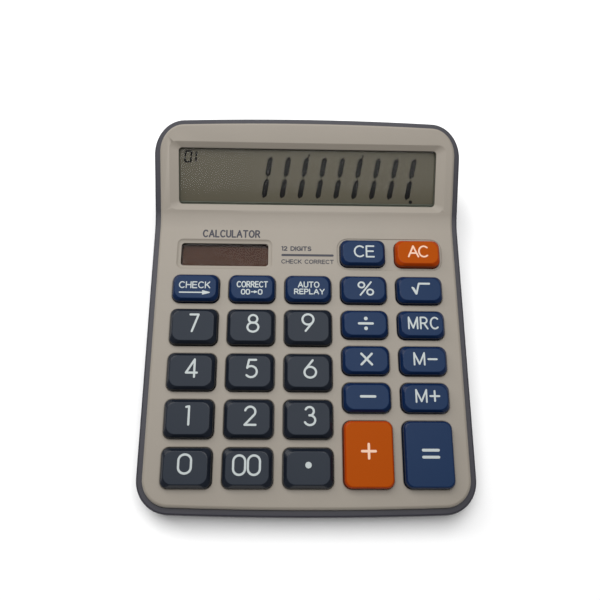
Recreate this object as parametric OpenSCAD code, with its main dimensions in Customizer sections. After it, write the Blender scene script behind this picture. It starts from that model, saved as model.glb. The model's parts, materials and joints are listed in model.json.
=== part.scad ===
// Desk calculator: a two-part plastic case with a raised display, twenty-seven sprung keys
// over a rubber mat and a circuit board, a solar cell and one AA cell.
// x runs left to right, y from the front edge to the display, z up. The origin is the middle
// of the footprint, at the underside of the rubber feet. Every size is in millimetres.

/* [Case] */
// Width over the rim of the lower case
case_w = 150; // [146:1:190]
// Length of the keypad face along its slope, from the front edge to the bend
keypad_len = 134.3; // [132:0.1:165]
// Length of the display face along its slope, from the bend to the rear edge
display_len = 47.8; // [46:0.1:60]
// Tilt of the keypad face from level
keypad_tilt = 4.5; // [3:0.1:6]
// Tilt of the display face from level
display_tilt = 27.7; // [22:0.1:32]
// Height of the keypad face at the front edge
front_h = 15; // [15:0.5:20]
// Radius of the case's corners in plan
corner_r = 15; // [12:0.5:17]
// How far the lower case stands out past the upper case
rim_out = 3; // [2.4:0.1:4]
// How far the front and rear edges bow outwards
edge_bow = 1; // [0.2:0.1:2]
// Wall of the upper case
wall = 2.2; // [1.8:0.02:2.64]
// Floor of the lower case
floor_t = 2.2; // [1.8:0.1:2.6]
// Radius of the soft bend between the two faces
bend_r = 20; // [5:1:24]
// Radius of the lower case's bottom edge
base_r = 3; // [1:0.5:4]
// Depth of the parting line below the upper faces
parting_depth = 2.5; // [2:0.1:3]
// Depth of the upper case's skirt, which nests inside the lower case
skirt_depth = 6; // [4.5:0.1:7]

/* [Keys] */
// Distance of the middle column from the centre line, to the right
key_shift = 0.25; // [-0.5:0.05:0.5]
// Distance between columns
col_pitch = 26.5; // [25:0.1:27]
// Distance between rows of number keys
row_pitch = 21; // [20:0.1:22]
// Distance between rows of small keys
small_pitch = 17; // [16.2:0.1:17.2]
// Lowest number row, from the front edge
first_row_v = 17.3; // [17:0.1:20]
// Function row, above the top number row
function_row_step = 18.75; // [18.2:0.05:20]
// Clear and cancel row, above the function row
clear_row_step = 18.55; // [17:0.05:20]
// Width of a number key
number_w = 21.7; // [20:0.1:23]
// Depth of a number key
number_d = 16.8; // [15:0.1:18]
// Width of a small key
small_w = 21.6; // [20:0.1:23]
// Depth of a small key
small_d = 13.2; // [12:0.1:14.4]
// Width of a tall key
tall_w = 21.7; // [20:0.1:23.2]
// Depth of a tall key
tall_d = 28.7; // [26:0.1:30]
// Height of the keys above the keypad face
key_rise = 3.9; // [3:0.1:5]
// Travel of a key
key_travel = 2; // [1.5:0.1:2.4]
// Clearance between a key and its opening
key_gap = 0.35; // [0.2:0.05:0.5]
// Wall of a key cap
key_wall = 1.5; // [1.2:0.1:1.8]
// Width of the flange that keeps a key in the case
flange_out = 0.9; // [0.7:0.05:1]
// Thickness of the flange
flange_t = 1; // [0.8:0.1:1.2]

/* [Display] */
// Width of the display window
window_w = 126.2; // [104:0.1:128]
// Depth of the display window
window_d = 27.1; // [24:0.1:28]
// Lower edge of the display window, from the bend
window_t = 8.15; // [7:0.05:10]
// Width of the sloping frame at the sides of the window
frame_side = 4.2; // [3:0.1:5]
// Width of the sloping frame above and below the window
frame_end = 2.7; // [2:0.1:3]
// Depth of the sloping frame
frame_depth = 1.4; // [1:0.1:1.6]
// Thickness of the liquid crystal panel
lcd_t = 2.8; // [2:0.1:3.2]

/* [Solar cell] */
// Width of the solar window
solar_w = 42.1; // [36:0.1:44]
// Depth of the solar window
solar_d = 11.6; // [9:0.1:12]
// Centre of the solar window, left of the centre line
solar_x = 40; // [38:0.1:42]
// Width of the soft step around the solar window
solar_step = 1.9; // [1:0.1:2.2]
// Thickness of the solar cell
solar_t = 1.1; // [0.8:0.1:1.4]

/* [Inside] */
// Thickness of the circuit board
board_t = 1.6; // [1.2:0.1:1.8]
// Thickness of the rubber mat
mat_t = 1; // [0.8:0.1:1.2]
// Gap between the rubber mat and a flange at full travel
mat_gap = 0.6; // [0.4:0.1:0.8]
// Diameter of the battery cell
cell_d = 14.2; // [13.5:0.1:14.5]
// Length of the battery cell without its button
cell_len = 49; // [48:0.1:50]
// Height of the battery door's upright end
door_h = 9; // [7:0.5:12]
// Running gap round the battery door
door_gap = 0.25; // [0.15:0.05:0.4]
// Diameter of a rubber foot
foot_d = 10; // [8:0.5:12]
// Height of a foot below the case
foot_out = 1.2; // [1:0.1:2]
// Depth of a foot's pocket in the case
foot_in = 0.7; // [0.5:0.1:1]

/* [Fasteners] */
// Shank diameter of a case screw
case_screw_d = 2.5; // [2:0.1:2.6]
// Shank length of a case screw
case_screw_len = 7.5; // [6:0.5:8]
// Shank diameter of a small screw
small_screw_d = 1.5; // [1.2:0.1:1.6]
// Clearance round a screw's shank in its pilot hole
screw_gap = 0.05; // [0.02:0.01:0.1]

/* [Hidden] */
$fn = 48;
over = 0.5;              // extra length of a cut past a face
case_dark = "#4a4952";
case_pale = "#a39c91";
rubber_dark = "#26262a";
metal = "#b9bcc0";

// The shape in side view: where the faces start, bend and end
overall_len = 2 * rim_out + keypad_len * cos(keypad_tilt) + display_len * cos(display_tilt);
y_lo = -overall_len / 2;
y_hi = overall_len / 2;
front_y = y_lo + rim_out;
bend_y = front_y + keypad_len * cos(keypad_tilt);
bend_z = front_h + keypad_len * sin(keypad_tilt);
base_z = foot_out;
floor_z = base_z + floor_t;
nest_gap = 0.15;
lower_wall = rim_out - nest_gap;
inner_half_w = case_w / 2 - rim_out - wall;

// Heights below the keypad face
flange_top = -wall - 0.1;
flange_bottom = flange_top - flange_t;
mat_top = flange_bottom - key_travel - mat_gap;
board_top = mat_top - mat_t;
board_bottom = board_top - board_t;
plunger_bottom = flange_bottom - 0.15;
plunger_r = 2.4;
dome_gap = 0.1;
dome_top = plunger_bottom - dome_gap;
dome_wall = 0.6;
dome_foot_r = 5.2;
dome_head_r = 2.8;

// Rows and columns
number_row = [for (i = [0:3]) first_row_v + i * row_pitch];
function_row = number_row[3] + function_row_step;
small_row = [for (i = [0:3]) function_row - i * small_pitch];
clear_row = function_row + clear_row_step;
tall_row = first_row_v + (tall_d - number_d) / 2;
function col_x(c) = key_shift + (c - 2) * col_pitch;

// Kind of key: width, depth, height, corner radius, width and height of its sloping edge
NUMBER = [number_w, number_d, key_rise, 2.8, 1.4, 1.7];
SMALL = [small_w, small_d, key_rise - 0.3, 3.3, 1.1, 1.5];
TALL = [tall_w, tall_d, key_rise, 3.3, 0.7, 0.9];
dark = "#31383e";
blue = "#2f3e59";
orange = "#b04a18";

// Each key: name, column, distance from the front edge, kind, colour
KEYS = [
  ["key_0", 0, number_row[0], NUMBER, dark],
  ["key_00", 1, number_row[0], NUMBER, dark],
  ["key_point", 2, number_row[0], NUMBER, dark],
  ["key_1", 0, number_row[1], NUMBER, dark],
  ["key_2", 1, number_row[1], NUMBER, dark],
  ["key_3", 2, number_row[1], NUMBER, dark],
  ["key_4", 0, number_row[2], NUMBER, dark],
  ["key_5", 1, number_row[2], NUMBER, dark],
  ["key_6", 2, number_row[2], NUMBER, dark],
  ["key_7", 0, number_row[3], NUMBER, dark],
  ["key_8", 1, number_row[3], NUMBER, dark],
  ["key_9", 2, number_row[3], NUMBER, dark],
  ["key_check", 0, function_row, SMALL, blue],
  ["key_correct", 1, function_row, SMALL, blue],
  ["key_replay", 2, function_row, SMALL, blue],
  ["key_percent", 3, small_row[0], SMALL, blue],
  ["key_divide", 3, small_row[1], SMALL, blue],
  ["key_multiply", 3, small_row[2], SMALL, blue],
  ["key_minus", 3, small_row[3], SMALL, blue],
  ["key_plus", 3, tall_row, TALL, orange],
  ["key_root", 4, small_row[0], SMALL, blue],
  ["key_memory_recall", 4, small_row[1], SMALL, blue],
  ["key_memory_minus", 4, small_row[2], SMALL, blue],
  ["key_memory_plus", 4, small_row[3], SMALL, blue],
  ["key_equals", 4, tall_row, TALL, blue],
  ["key_clear_entry", 3, clear_row, SMALL, blue],
  ["key_all_clear", 4, clear_row, SMALL, orange],
];

// Display stack, as depths below the display face
window_mid_t = window_t + window_d / 2;
window_gap = 0.2;
window_lip = 2;
tape_t = 0.2;
window_top = -frame_depth - 0.15;
window_seat = -wall - tape_t;
window_bottom = window_seat - 1.2;
lcd_top = window_bottom - 0.2;
lcd_bottom = lcd_top - lcd_t;
lcd_w = window_w + 0.8;
lcd_d = window_d + 2.4;
reflector_t = 0.3;
holder_top = window_bottom - 0.05;
holder_floor = lcd_bottom - reflector_t - 0.1;
holder_bottom = holder_floor - 1.4;
holder_w = lcd_w + 5;
holder_d = lcd_d + 4;
ear_x = 40;
ear_t = window_mid_t - holder_d / 2 - 2.2;
ear_r = 2.6;
hook_x = 40;

// Solar stack, as depths below the keypad face
solar_v = clear_row - 0.6;
solar_depth = 0.9;
solar_top = -solar_depth - 0.1;
solar_seat = -wall;
solar_bottom = solar_seat - 1.2;
cell_plate_top = solar_bottom - 0.1;
cell_plate_bottom = cell_plate_top - solar_t;

// Screws: posts for the case [x, distance from the front edge, height where the halves meet]
board_front_v = first_row_v - number_d / 2 - 0.3;
board_rear_v = clear_row + 9.4;
post_r = 2.4;
tube_r = 3.4;
front_post_v = 4.9;
rear_post_v = board_rear_v + 3.8;
CASE_POSTS = [
  [-1.5 * col_pitch, front_post_v, 7],
  [1.5 * col_pitch, front_post_v, 7],
  [-inner_half_w + 5.8, rear_post_v, 12],
  [inner_half_w - 5.8, rear_post_v, 12],
  [0, clear_row, 12],
];
case_head_d = 5.2;
case_head_h = 1.8;
tube_roof = 2.8;

// Small posts between the keys, which hold the board
mid_v = (number_row[0] + number_row[1]) / 2;
left_top_v = (number_row[3] + number_d / 2 + function_row - small_d / 2) / 2;
right_low_v = (tall_row + tall_d / 2 + small_row[3] - small_d / 2) / 2;
right_top_v = (small_row[0] + small_row[1]) / 2;
BOARD_POSTS = [
  [col_x(0.5), mid_v],
  [col_x(1.5), mid_v + row_pitch],
  [col_x(0.5), left_top_v],
  [col_x(1.5), left_top_v],
  [col_x(3.5), right_low_v],
  [col_x(3.5), right_top_v],
];
board_post_r = 2;
small_head_d = 3.6;
small_head_h = 1.2;
small_screw_len = 5;
board_half_w = col_x(4) + small_w / 2 + flange_out + 1;

// Battery bay at the rear
bay_half = cell_len / 2 + 4.2;
cell_y = y_hi - edge_bow - lower_wall - 0.6 - cell_d / 2;
strip_z = floor_z + door_gap;
strip_t = 1.2;
cell_z = strip_z + strip_t + 0.3 + cell_d / 2;
bay_wall = 1.6;
bay_wall_y = cell_y - cell_d / 2 - 0.6 - bay_wall;
bay_wall_h = 11;
door_front_y = bay_wall_y + bay_wall + door_gap;
door_half = bay_half - 1.8;
strip_half = door_half + 1.5;
upright_half = strip_half + 1.5;
upright_y = y_hi - edge_bow - lower_wall - 1;
contact_t = 0.4;
spring_r = 3.6;
spring_turns = 4;
spring_wire_r = 0.35;

foot_x = case_w / 2 - 15;
foot_front_y = y_lo + 14;
foot_rear_y = y_hi - 14;

// ---- Frames on the two faces ----

// Local x, distance up the slope, and height above the keypad face
module on_keypad() {
  translate([0, front_y, front_h]) rotate([keypad_tilt, 0, 0]) children();
}

// Local x, distance up the slope from the bend, and height above the display face
module on_display() {
  translate([0, bend_y, bend_z]) rotate([display_tilt, 0, 0]) children();
}

// ---- Shared shapes ----

// Slab with round corners, centred in plan, from z = 0 up
module rounded_slab(w, d, h, r) {
  linear_extrude(h) union() {
    square([w - 2 * r, d], center = true);
    square([w, d - 2 * r], center = true);
    for (x = [-1, 1], y = [-1, 1]) translate([x * (w / 2 - r), y * (d / 2 - r)]) circle(r);
  }
}

// Block whose four sides lean in from [w0, d0] at z = 0 to [w1, d1] at z = h
module leaning_block(w0, d0, w1, d1, h) {
  wide = max(w0, w1) + 2;
  deep = max(d0, d1) + 2;
  intersection() {
    rotate([90, 0, 0]) linear_extrude(deep, center = true)
      polygon([[-w0 / 2, 0], [w0 / 2, 0], [w1 / 2, h], [-w1 / 2, h]]);
    rotate([90, 0, 90]) linear_extrude(wide, center = true)
      polygon([[-d0 / 2, 0], [d0 / 2, 0], [d1 / 2, h], [-d1 / 2, h]]);
  }
}

// Round wire swept along points that never run along the x axis
function unit(v) = v / norm(v);
module wire(points, r, sides = 8) {
  last = len(points) - 1;
  rings = [for (i = [0:last]) let (
      along = unit(points[min(i + 1, last)] - points[max(i - 1, 0)]),
      across = unit(cross(along, [1, 0, 0])),
      up = cross(across, along)
    ) for (j = [0:sides - 1]) let (a = 360 * j / sides) points[i] + r * (cos(a) * across + sin(a) * up)];
  walls = [for (i = [0:last - 1], j = [0:sides - 1]) let (k = (j + 1) % sides)
    [i * sides + j, i * sides + k, (i + 1) * sides + k, (i + 1) * sides + j]];
  polyhedron(rings, concat(walls,
    [[for (j = [sides - 1:-1:0]) j]], [[for (j = [0:sides - 1]) last * sides + j]]));
}

// Flat strip of even thickness that follows [y, z] points, wide along x
module bent_strip(points, w, t) {
  back = [for (i = [len(points) - 1:-1:0]) points[i] + [0, t]];
  rotate([90, 0, 90]) linear_extrude(w, center = true) polygon(concat(points, back));
}

// ---- Case outlines ----

// Plan of the case, a distance in from the rim of the lower case
function arc(cx, cy, r, from, steps = 10) =
  [for (i = [0:steps]) [cx + r * cos(from + 90 * i / steps), cy + r * sin(from + 90 * i / steps)]];
function bow_line(half, y, bow, dir, steps = 4) =
  [for (i = [1 - steps:steps - 1]) [dir * half * i / steps, y + bow * pow(i / steps, 2)]];
function outline(inset) = let (
    w = case_w / 2 - inset,
    r = corner_r - inset,
    lo = y_lo + inset,
    hi = y_hi - inset
  ) concat(
    bow_line(w - r, lo, edge_bow, 1),
    arc(w - r, lo + edge_bow + r, r, -90),
    arc(w - r, hi - edge_bow - r, r, 0),
    bow_line(w - r, hi, -edge_bow, -1),
    arc(r - w, hi - edge_bow - r, r, 90),
    arc(r - w, lo + edge_bow + r, r, 180)
  );
module plan_prism(inset) {
  linear_extrude(80) polygon(outline(inset));
}

// Heights of the keypad and display faces, less a depth measured square to them
function keypad_z(y, depth) =
  front_h + (y - front_y) * tan(keypad_tilt) - depth / cos(keypad_tilt);
function display_z(y, depth) =
  bend_z + (y - bend_y) * tan(display_tilt) - depth / cos(display_tilt);

// Everything below the upper faces, less a depth
function face_profile(depth) = let (
    lean = (keypad_tilt + display_tilt) / 2,
    reach = bend_r / cos((display_tilt - keypad_tilt) / 2),
    mid = [bend_y - reach * sin(lean), bend_z + reach * cos(lean)],
    steps = 8
  ) concat(
    [[y_lo - 20, -10], [y_lo - 20, keypad_z(y_lo - 20, depth)]],
    [for (i = [0:steps])
      let (a = keypad_tilt + (display_tilt - keypad_tilt) * i / steps)
        mid + (bend_r + depth) * [sin(a), -cos(a)]],
    [[y_hi + 20, display_z(y_hi + 20, depth)], [y_hi + 20, -10]]
  );
module below_face(depth) {
  rotate([90, 0, 90]) linear_extrude(case_w + 20, center = true) polygon(face_profile(depth));
}

// Section of the lower case across one of its spans, with round bottom edges
function base_section(lo, hi, top, steps = 5) = concat(
    [[hi, top], [lo, top]],
    [for (i = [0:steps])
      let (a = 180 + 90 * i / steps) [lo + base_r + base_r * cos(a), base_z + base_r + base_r * sin(a)]],
    [for (i = [0:steps])
      let (a = 270 + 90 * i / steps) [hi - base_r + base_r * cos(a), base_z + base_r + base_r * sin(a)]]
  );
module lower_shell() {
  difference() {
    intersection() {
      plan_prism(0);
      below_face(parting_depth);
      rotate([90, 0, 90]) linear_extrude(case_w + 20, center = true)
        polygon(base_section(y_lo, y_hi, 80));
      rotate([90, 0, 0]) linear_extrude(overall_len + 20, center = true)
        polygon(base_section(-case_w / 2, case_w / 2, 80));
    }
    translate([0, 0, floor_z]) plan_prism(lower_wall);
  }
}

// ---- Case parts ----

// Vertical post from a meeting height up into the upper case
module hanging_post(p, r, pilot_r) {
  y = front_y + p[1] * cos(keypad_tilt);
  roof = keypad_z(y, wall);
  intersection() {
    below_face(wall / 2);
    translate([p[0], y, p[2]]) difference() {
      cylinder(r = r, h = 40);
      translate([0, 0, -over]) cylinder(r = pilot_r, h = roof - p[2] - 0.4 + over);
    }
  }
}

module upper_case() {
  pilot_r = case_screw_d / 2 + screw_gap;
  small_pilot_r = small_screw_d / 2 + screw_gap;
  color(case_pale) union() {
    difference() {
      intersection() {
        plan_prism(rim_out);
        below_face(0);
      }
      below_face(skirt_depth);
      intersection() {
        plan_prism(rim_out + wall);
        below_face(wall);
      }
      key_openings();
      clear_key_panel();
      display_opening();
      solar_opening();
    }
    for (p = CASE_POSTS) hanging_post(p, post_r, pilot_r);
    on_keypad() for (p = BOARD_POSTS) translate([p[0], p[1], board_top]) difference() {
      cylinder(r = board_post_r, h = -board_top - wall / 2);
      translate([0, 0, -over]) cylinder(r = small_pilot_r, h = small_screw_len - board_t + 0.3 + over);
    }
    on_display() {
      for (x = [-ear_x, ear_x]) translate([x, ear_t, holder_top + 0.05]) difference() {
        cylinder(r = ear_r, h = -holder_top - wall / 2);
        translate([0, 0, -over]) cylinder(r = small_pilot_r, h = 1.5 + over);
      }
      holder_hooks();
    }
    rear_snaps();
  }
}

module key_openings() {
  on_keypad() for (k = KEYS) translate([col_x(k[1]), k[2], -wall - over])
    rounded_slab(k[3][0] + 2 * key_gap, k[3][1] + 2 * key_gap, wall + 2 * over, k[3][3] + key_gap);
}

// Shallow panel round the two clear keys
module clear_key_panel() {
  margin = 1.1;
  panel_w = col_pitch + small_w + 2 * margin;
  on_keypad() translate([col_x(3.5), clear_row, -0.4])
    rounded_slab(panel_w, small_d + 2 * margin, 1, 5);
}

module display_opening() {
  w1 = window_w + 2 * frame_side;
  d1 = window_d + 2 * frame_end;
  grow = 1 + over / frame_depth;
  on_display() translate([0, window_mid_t, 0]) {
    translate([0, 0, -wall - over]) rounded_slab(window_w, window_d, wall, 1.8);
    translate([0, 0, -frame_depth]) leaning_block(window_w, window_d,
      window_w + 2 * frame_side * grow, window_d + 2 * frame_end * grow, frame_depth * grow);
  }
}

module solar_opening() {
  on_keypad() translate([-solar_x, solar_v, 0]) {
    translate([0, 0, -wall - over]) rounded_slab(solar_w, solar_d, wall, 1.5);
    intersection() {
      translate([0, 0, -solar_depth]) leaning_block(solar_w, solar_d,
        solar_w + 4 * solar_step, solar_d + 4 * solar_step, 2 * solar_depth);
      translate([0, 0, -solar_depth])
        rounded_slab(solar_w + 2 * solar_step, solar_d + 2 * solar_step, 2, 2.6);
    }
  }
}

// Hooks that hold the far edge of the display holder
module holder_hooks() {
  edge = window_mid_t + holder_d / 2 + 0.2;
  drop = 1;
  for (x = [-hook_x, hook_x]) {
    translate([x - 4, edge, holder_bottom - 0.1 - drop])
      cube([8, 1.2, -holder_bottom + drop - wall / 2]);
    translate([x - 4, edge - 1, holder_bottom - 0.1 - drop]) cube([8, 1.2, drop]);
  }
}

// Snap tongues on the rear skirt
module rear_snaps() {
  inner_y = y_hi - rim_out - wall - edge_bow;
  low_z = display_z(y_hi - rim_out, skirt_depth) - 3;
  for (x = [-35, 35]) translate([x - 6, inner_y, low_z]) {
    cube([12, 1.6, 6]);
    cube([12, 2.2, 1.2]);
  }
}

module lower_case() {
  shank_r = case_screw_d / 2 + 0.3;
  head_r = case_head_d / 2 + 0.3;
  color(case_dark) difference() {
    union() {
      difference() {
        lower_shell();
        door_space(door_gap);
      }
      for (p = CASE_POSTS) translate([p[0], front_y + p[1] * cos(keypad_tilt), base_z])
        cylinder(r = tube_r + 0.3, h = p[2] - 0.1 - base_z);
      battery_bay();
    }
    for (p = CASE_POSTS) translate([p[0], front_y + p[1] * cos(keypad_tilt), 0]) {
      cylinder(r = shank_r, h = 40);
      translate([0, 0, -over]) cylinder(r = head_r, h = p[2] - tube_roof + over);
    }
    foot_pockets();
  }
}

// Walls that hold the battery cell and its contacts
module battery_bay() {
  for (side = [-1, 1]) translate([side > 0 ? bay_half : -bay_half - bay_wall, bay_wall_y, floor_z - 0.2])
    cube([bay_wall, upright_y - 2 * door_gap - bay_wall_y, bay_wall_h]);
  translate([-bay_half, bay_wall_y, floor_z - 0.2]) cube([2 * bay_half, bay_wall, bay_wall_h]);
}

// The battery door's shape, or with a clearance the space cut for it
module door_space(gap) {
  translate([-door_half - gap, door_front_y - gap, -over])
    cube([2 * (door_half + gap), y_hi - door_front_y + 10, floor_z + over + 0.01]);
  translate([-upright_half - gap, upright_y - gap, -over])
    cube([2 * (upright_half + gap), 10, door_h + gap + over]);
}

module battery_door() {
  strip_len = y_hi - edge_bow - 1.5 - door_front_y;
  color(case_dark) union() {
    intersection() {
      lower_shell();
      door_space(0);
    }
    translate([-strip_half, door_front_y, strip_z]) cube([2 * strip_half, strip_len, strip_t]);
    translate([-door_half + 1, door_front_y, floor_z - over])
      cube([2 * door_half - 2, strip_len, door_gap + over + 0.2]);
  }
}

module foot_pockets() {
  for (x = [-foot_x, foot_x], y = [foot_front_y, foot_rear_y])
    translate([x, y, -over]) cylinder(d = foot_d + 0.2, h = base_z + foot_in + over);
}

module rubber_feet() {
  color(rubber_dark) for (x = [-foot_x, foot_x], y = [foot_front_y, foot_rear_y])
    translate([x, y, 0]) {
      cylinder(d1 = foot_d - 0.8, d2 = foot_d, h = 0.4);
      translate([0, 0, 0.4]) cylinder(d = foot_d, h = base_z + foot_in - 0.4);
    }
}

// ---- Display parts ----

module display_window() {
  color("#c8d0d4", 0.35) on_display() translate([0, window_mid_t, 0]) {
    translate([0, 0, window_seat - 0.01]) rounded_slab(window_w - 2 * window_gap,
      window_d - 2 * window_gap, window_top - window_seat, 1.6);
    translate([0, 0, window_bottom]) rounded_slab(window_w + 2 * window_lip,
      window_d + 2 * window_lip, window_seat - window_bottom, 2);
  }
}

module window_tape() {
  color("#1c1c1e") on_display() translate([0, window_mid_t, window_seat]) difference() {
    rounded_slab(window_w + 2 * window_lip, window_d + 2 * window_lip, tape_t, 2);
    translate([0, 0, -over]) rounded_slab(window_w + 0.4, window_d + 0.4, tape_t + 2 * over, 1.8);
  }
}

module lcd_panel() {
  color("#585646") on_display() translate([-lcd_w / 2, window_mid_t - lcd_d / 2, lcd_bottom])
    cube([lcd_w, lcd_d, lcd_t]);
}

module lcd_reflector() {
  inset = 3;
  color("#8a8c86") on_display()
    translate([-lcd_w / 2 + 1, window_mid_t - lcd_d / 2 + inset, lcd_bottom - reflector_t])
      cube([lcd_w - 2, lcd_d - inset - 1, reflector_t]);
}

module lcd_holder() {
  play = 0.3;
  ribbon_half = 33;
  color("#d9d6cf") on_display() difference() {
    union() {
      translate([-holder_w / 2, window_mid_t - holder_d / 2, holder_bottom])
        cube([holder_w, holder_d, holder_top - holder_bottom]);
      for (x = [-ear_x, ear_x]) {
        translate([x, ear_t, holder_bottom]) cylinder(r = ear_r, h = holder_top - holder_bottom);
        translate([x - ear_r, ear_t, holder_bottom])
          cube([2 * ear_r, 3, holder_top - holder_bottom]);
      }
    }
    translate([-lcd_w / 2 - play, window_mid_t - lcd_d / 2 - play, holder_floor])
      cube([lcd_w + 2 * play, lcd_d + 2 * play, 10]);
    translate([-ribbon_half, window_mid_t - holder_d / 2 - 1, holder_floor - 0.6])
      cube([2 * ribbon_half, 3 + 1, 10]);
    for (x = [-ear_x, ear_x]) {
      translate([x, ear_t, holder_bottom - over]) cylinder(r = small_screw_d / 2 + 0.3, h = 20);
      translate([x, ear_t, holder_bottom - over]) cylinder(r = small_head_d / 2 + 0.3, h = 2.8 + over);
    }
  }
}

// Point of the display frame, as [y, z]
function display_point(t, n) = [
  bend_y + t * cos(display_tilt) - n * sin(display_tilt),
  bend_z + t * sin(display_tilt) + n * cos(display_tilt),
];
function keypad_point(v, n) = [
  front_y + v * cos(keypad_tilt) - n * sin(keypad_tilt),
  front_h + v * sin(keypad_tilt) + n * cos(keypad_tilt),
];

module lcd_ribbon() {
  t = 0.15;
  low = lcd_bottom - 0.2;
  edge = window_mid_t - lcd_d / 2;
  color("#b07a34") bent_strip([
    display_point(edge + 2.6, low),
    display_point(edge - 2, low),
    keypad_point(board_rear_v + 3, board_top + 1.4),
    keypad_point(board_rear_v - 1, board_top + 0.1),
    keypad_point(board_rear_v - 4, board_top + 0.02),
  ], 60, t);
}

// Screw with its head below z = 0 and its shank above, with a cross recess
module screw(shank_d, shank_len, head_d, head_h) {
  slot = shank_d * 0.28;
  difference() {
    union() {
      cylinder(d = shank_d, h = shank_len);
      translate([0, 0, -head_h]) cylinder(d1 = head_d * 0.8, d2 = head_d, h = head_h);
    }
    for (turn = [0, 90]) rotate([0, 0, turn]) translate([-shank_d / 2, -slot / 2, -head_h - over])
      cube([shank_d, slot, head_h * 0.6 + over]);
  }
}

module lcd_screws() {
  seat = holder_bottom + 2.8;
  color(metal) on_display() for (x = [-ear_x, ear_x])
    translate([x, ear_t, seat]) screw(small_screw_d, holder_top - seat + 1.4, small_head_d, small_head_h);
}

module board_screws() {
  color(metal) on_keypad() for (p = BOARD_POSTS)
    translate([p[0], p[1], board_bottom]) screw(small_screw_d, small_screw_len, small_head_d, small_head_h);
}

module case_screws() {
  color(metal) for (p = CASE_POSTS)
    translate([p[0], front_y + p[1] * cos(keypad_tilt), p[2] - tube_roof])
      screw(case_screw_d, case_screw_len, case_head_d, case_head_h);
}

// ---- Solar parts ----

module solar_window() {
  gap = 0.2;
  color("#6b5a52", 0.5) on_keypad() translate([-solar_x, solar_v, 0]) {
    translate([0, 0, solar_seat - 0.01])
      rounded_slab(solar_w - 2 * gap, solar_d - 2 * gap, solar_top - solar_seat, 1.3);
    translate([0, 0, solar_bottom]) rounded_slab(solar_w + 3, solar_d + 3, solar_seat - solar_bottom, 1.5);
  }
}

module solar_cell() {
  color("#4f3b33") on_keypad()
    translate([-solar_x - solar_w / 2 - 1, solar_v - solar_d / 2 - 1, cell_plate_bottom])
      cube([solar_w + 2, solar_d + 2, solar_t]);
}

module solar_pad() {
  h = cell_plate_bottom - board_top - 0.02;
  color("#3a3a3c") on_keypad() translate([-solar_x - solar_w / 2 + 4, solar_v - 4, board_top + 0.01])
    cube([solar_w - 8, 8, h]);
}

module solar_leads() {
  color("#8f2f2a") on_keypad() for (side = [-1, 1])
    translate([-solar_x + side * (solar_w / 2 - 1.5), solar_v, board_top])
      cylinder(r = 0.5, h = cell_plate_bottom - board_top, $fn = 16);
}

// ---- Board, mat and domes ----

module main_board() {
  color("#2f6b3c") on_keypad() difference() {
    translate([-board_half_w, board_front_v, board_bottom])
      cube([2 * board_half_w, board_rear_v - board_front_v, board_t]);
    for (p = BOARD_POSTS) translate([p[0], p[1], board_bottom - over])
      cylinder(r = small_screw_d / 2 + 0.3, h = board_t + 2 * over);
    translate([0, clear_row, board_bottom - over - 1]) cylinder(r = post_r + 1.2, h = board_t + 3);
  }
}

module controller_chip() {
  color("#18181a") on_keypad() translate([col_x(1.5), number_row[2], board_bottom - 1.4]) {
    cylinder(r1 = 5, r2 = 7, h = 0.8);
    translate([0, 0, 0.8]) cylinder(r = 7, h = 0.6);
  }
}

module board_parts() {
  color("#6f6247") on_keypad() {
    for (i = [0:4]) translate([-26 + 6 * i, function_row + 4, board_bottom - 1]) cube([2, 4, 1]);
    for (i = [0:1]) translate([-50 + 9 * i, clear_row, board_bottom - 5]) cylinder(d = 5, h = 5);
    translate([22, function_row + 2, board_bottom - 2.2]) cube([8, 3, 2.2]);
  }
}

// The mat covers the number and function keys, and reaches up under the two clear keys
module key_mat() {
  edge = 0.6;
  left = -board_half_w + edge;
  clear_left = col_x(3) - small_w / 2 - flange_out;
  low_v = board_front_v + edge;
  step_v = function_row + small_d / 2 + 1;
  color(rubber_dark) on_keypad() difference() {
    union() {
      translate([left, low_v, board_top]) cube([-2 * left, step_v - low_v, mat_t]);
      translate([clear_left, low_v, board_top])
        cube([-left - clear_left, board_rear_v - 5 - low_v, mat_t]);
    }
    for (k = KEYS) translate([col_x(k[1]), k[2], board_top - over])
      cylinder(r = dome_foot_r - dome_wall, h = mat_t + 2 * over);
    for (p = BOARD_POSTS) translate([p[0], p[1], board_top - over])
      cylinder(r = board_post_r + 0.4, h = mat_t + 2 * over);
  }
}

module dome() {
  h = dome_top - mat_top;
  difference() {
    cylinder(r1 = dome_foot_r, r2 = dome_head_r, h = h);
    translate([0, 0, -0.01])
      cylinder(r1 = dome_foot_r - dome_wall, r2 = dome_head_r - dome_wall, h = h - dome_wall);
  }
}

module key_domes() {
  color("#55575a") on_keypad() for (k = KEYS) translate([col_x(k[1]), k[2], mat_top]) dome();
}

// ---- Battery ----

module battery_cell() {
  color("#3d6a8f") translate([-cell_len / 2, cell_y, cell_z]) rotate([0, 90, 0]) {
    cylinder(d = cell_d, h = cell_len);
    translate([0, 0, cell_len]) cylinder(d = 5.4, h = 1.5);
  }
}

// Spring between the cell's flat end and the left contact plate
module battery_spring() {
  far = -bay_half + contact_t;
  reach = -cell_len / 2 - far - 2 * spring_wire_r - 0.1;
  steps = 12 * spring_turns;
  start = far + spring_wire_r + 0.05;
  coil = [for (i = [0:steps]) let (turn = 360 * i / 12, r = spring_r * (1 - 0.25 * i / steps))
    [start + reach * i / steps, r * cos(turn), r * sin(turn)]];
  color(metal) translate([0, cell_y, cell_z]) wire(coil, spring_wire_r, 6);
}

module battery_plates() {
  size = 9;
  for (x = [-bay_half, bay_half - contact_t])
    color(metal) translate([x, cell_y - size / 2, cell_z - 5]) cube([contact_t, size, size]);
}

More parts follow.
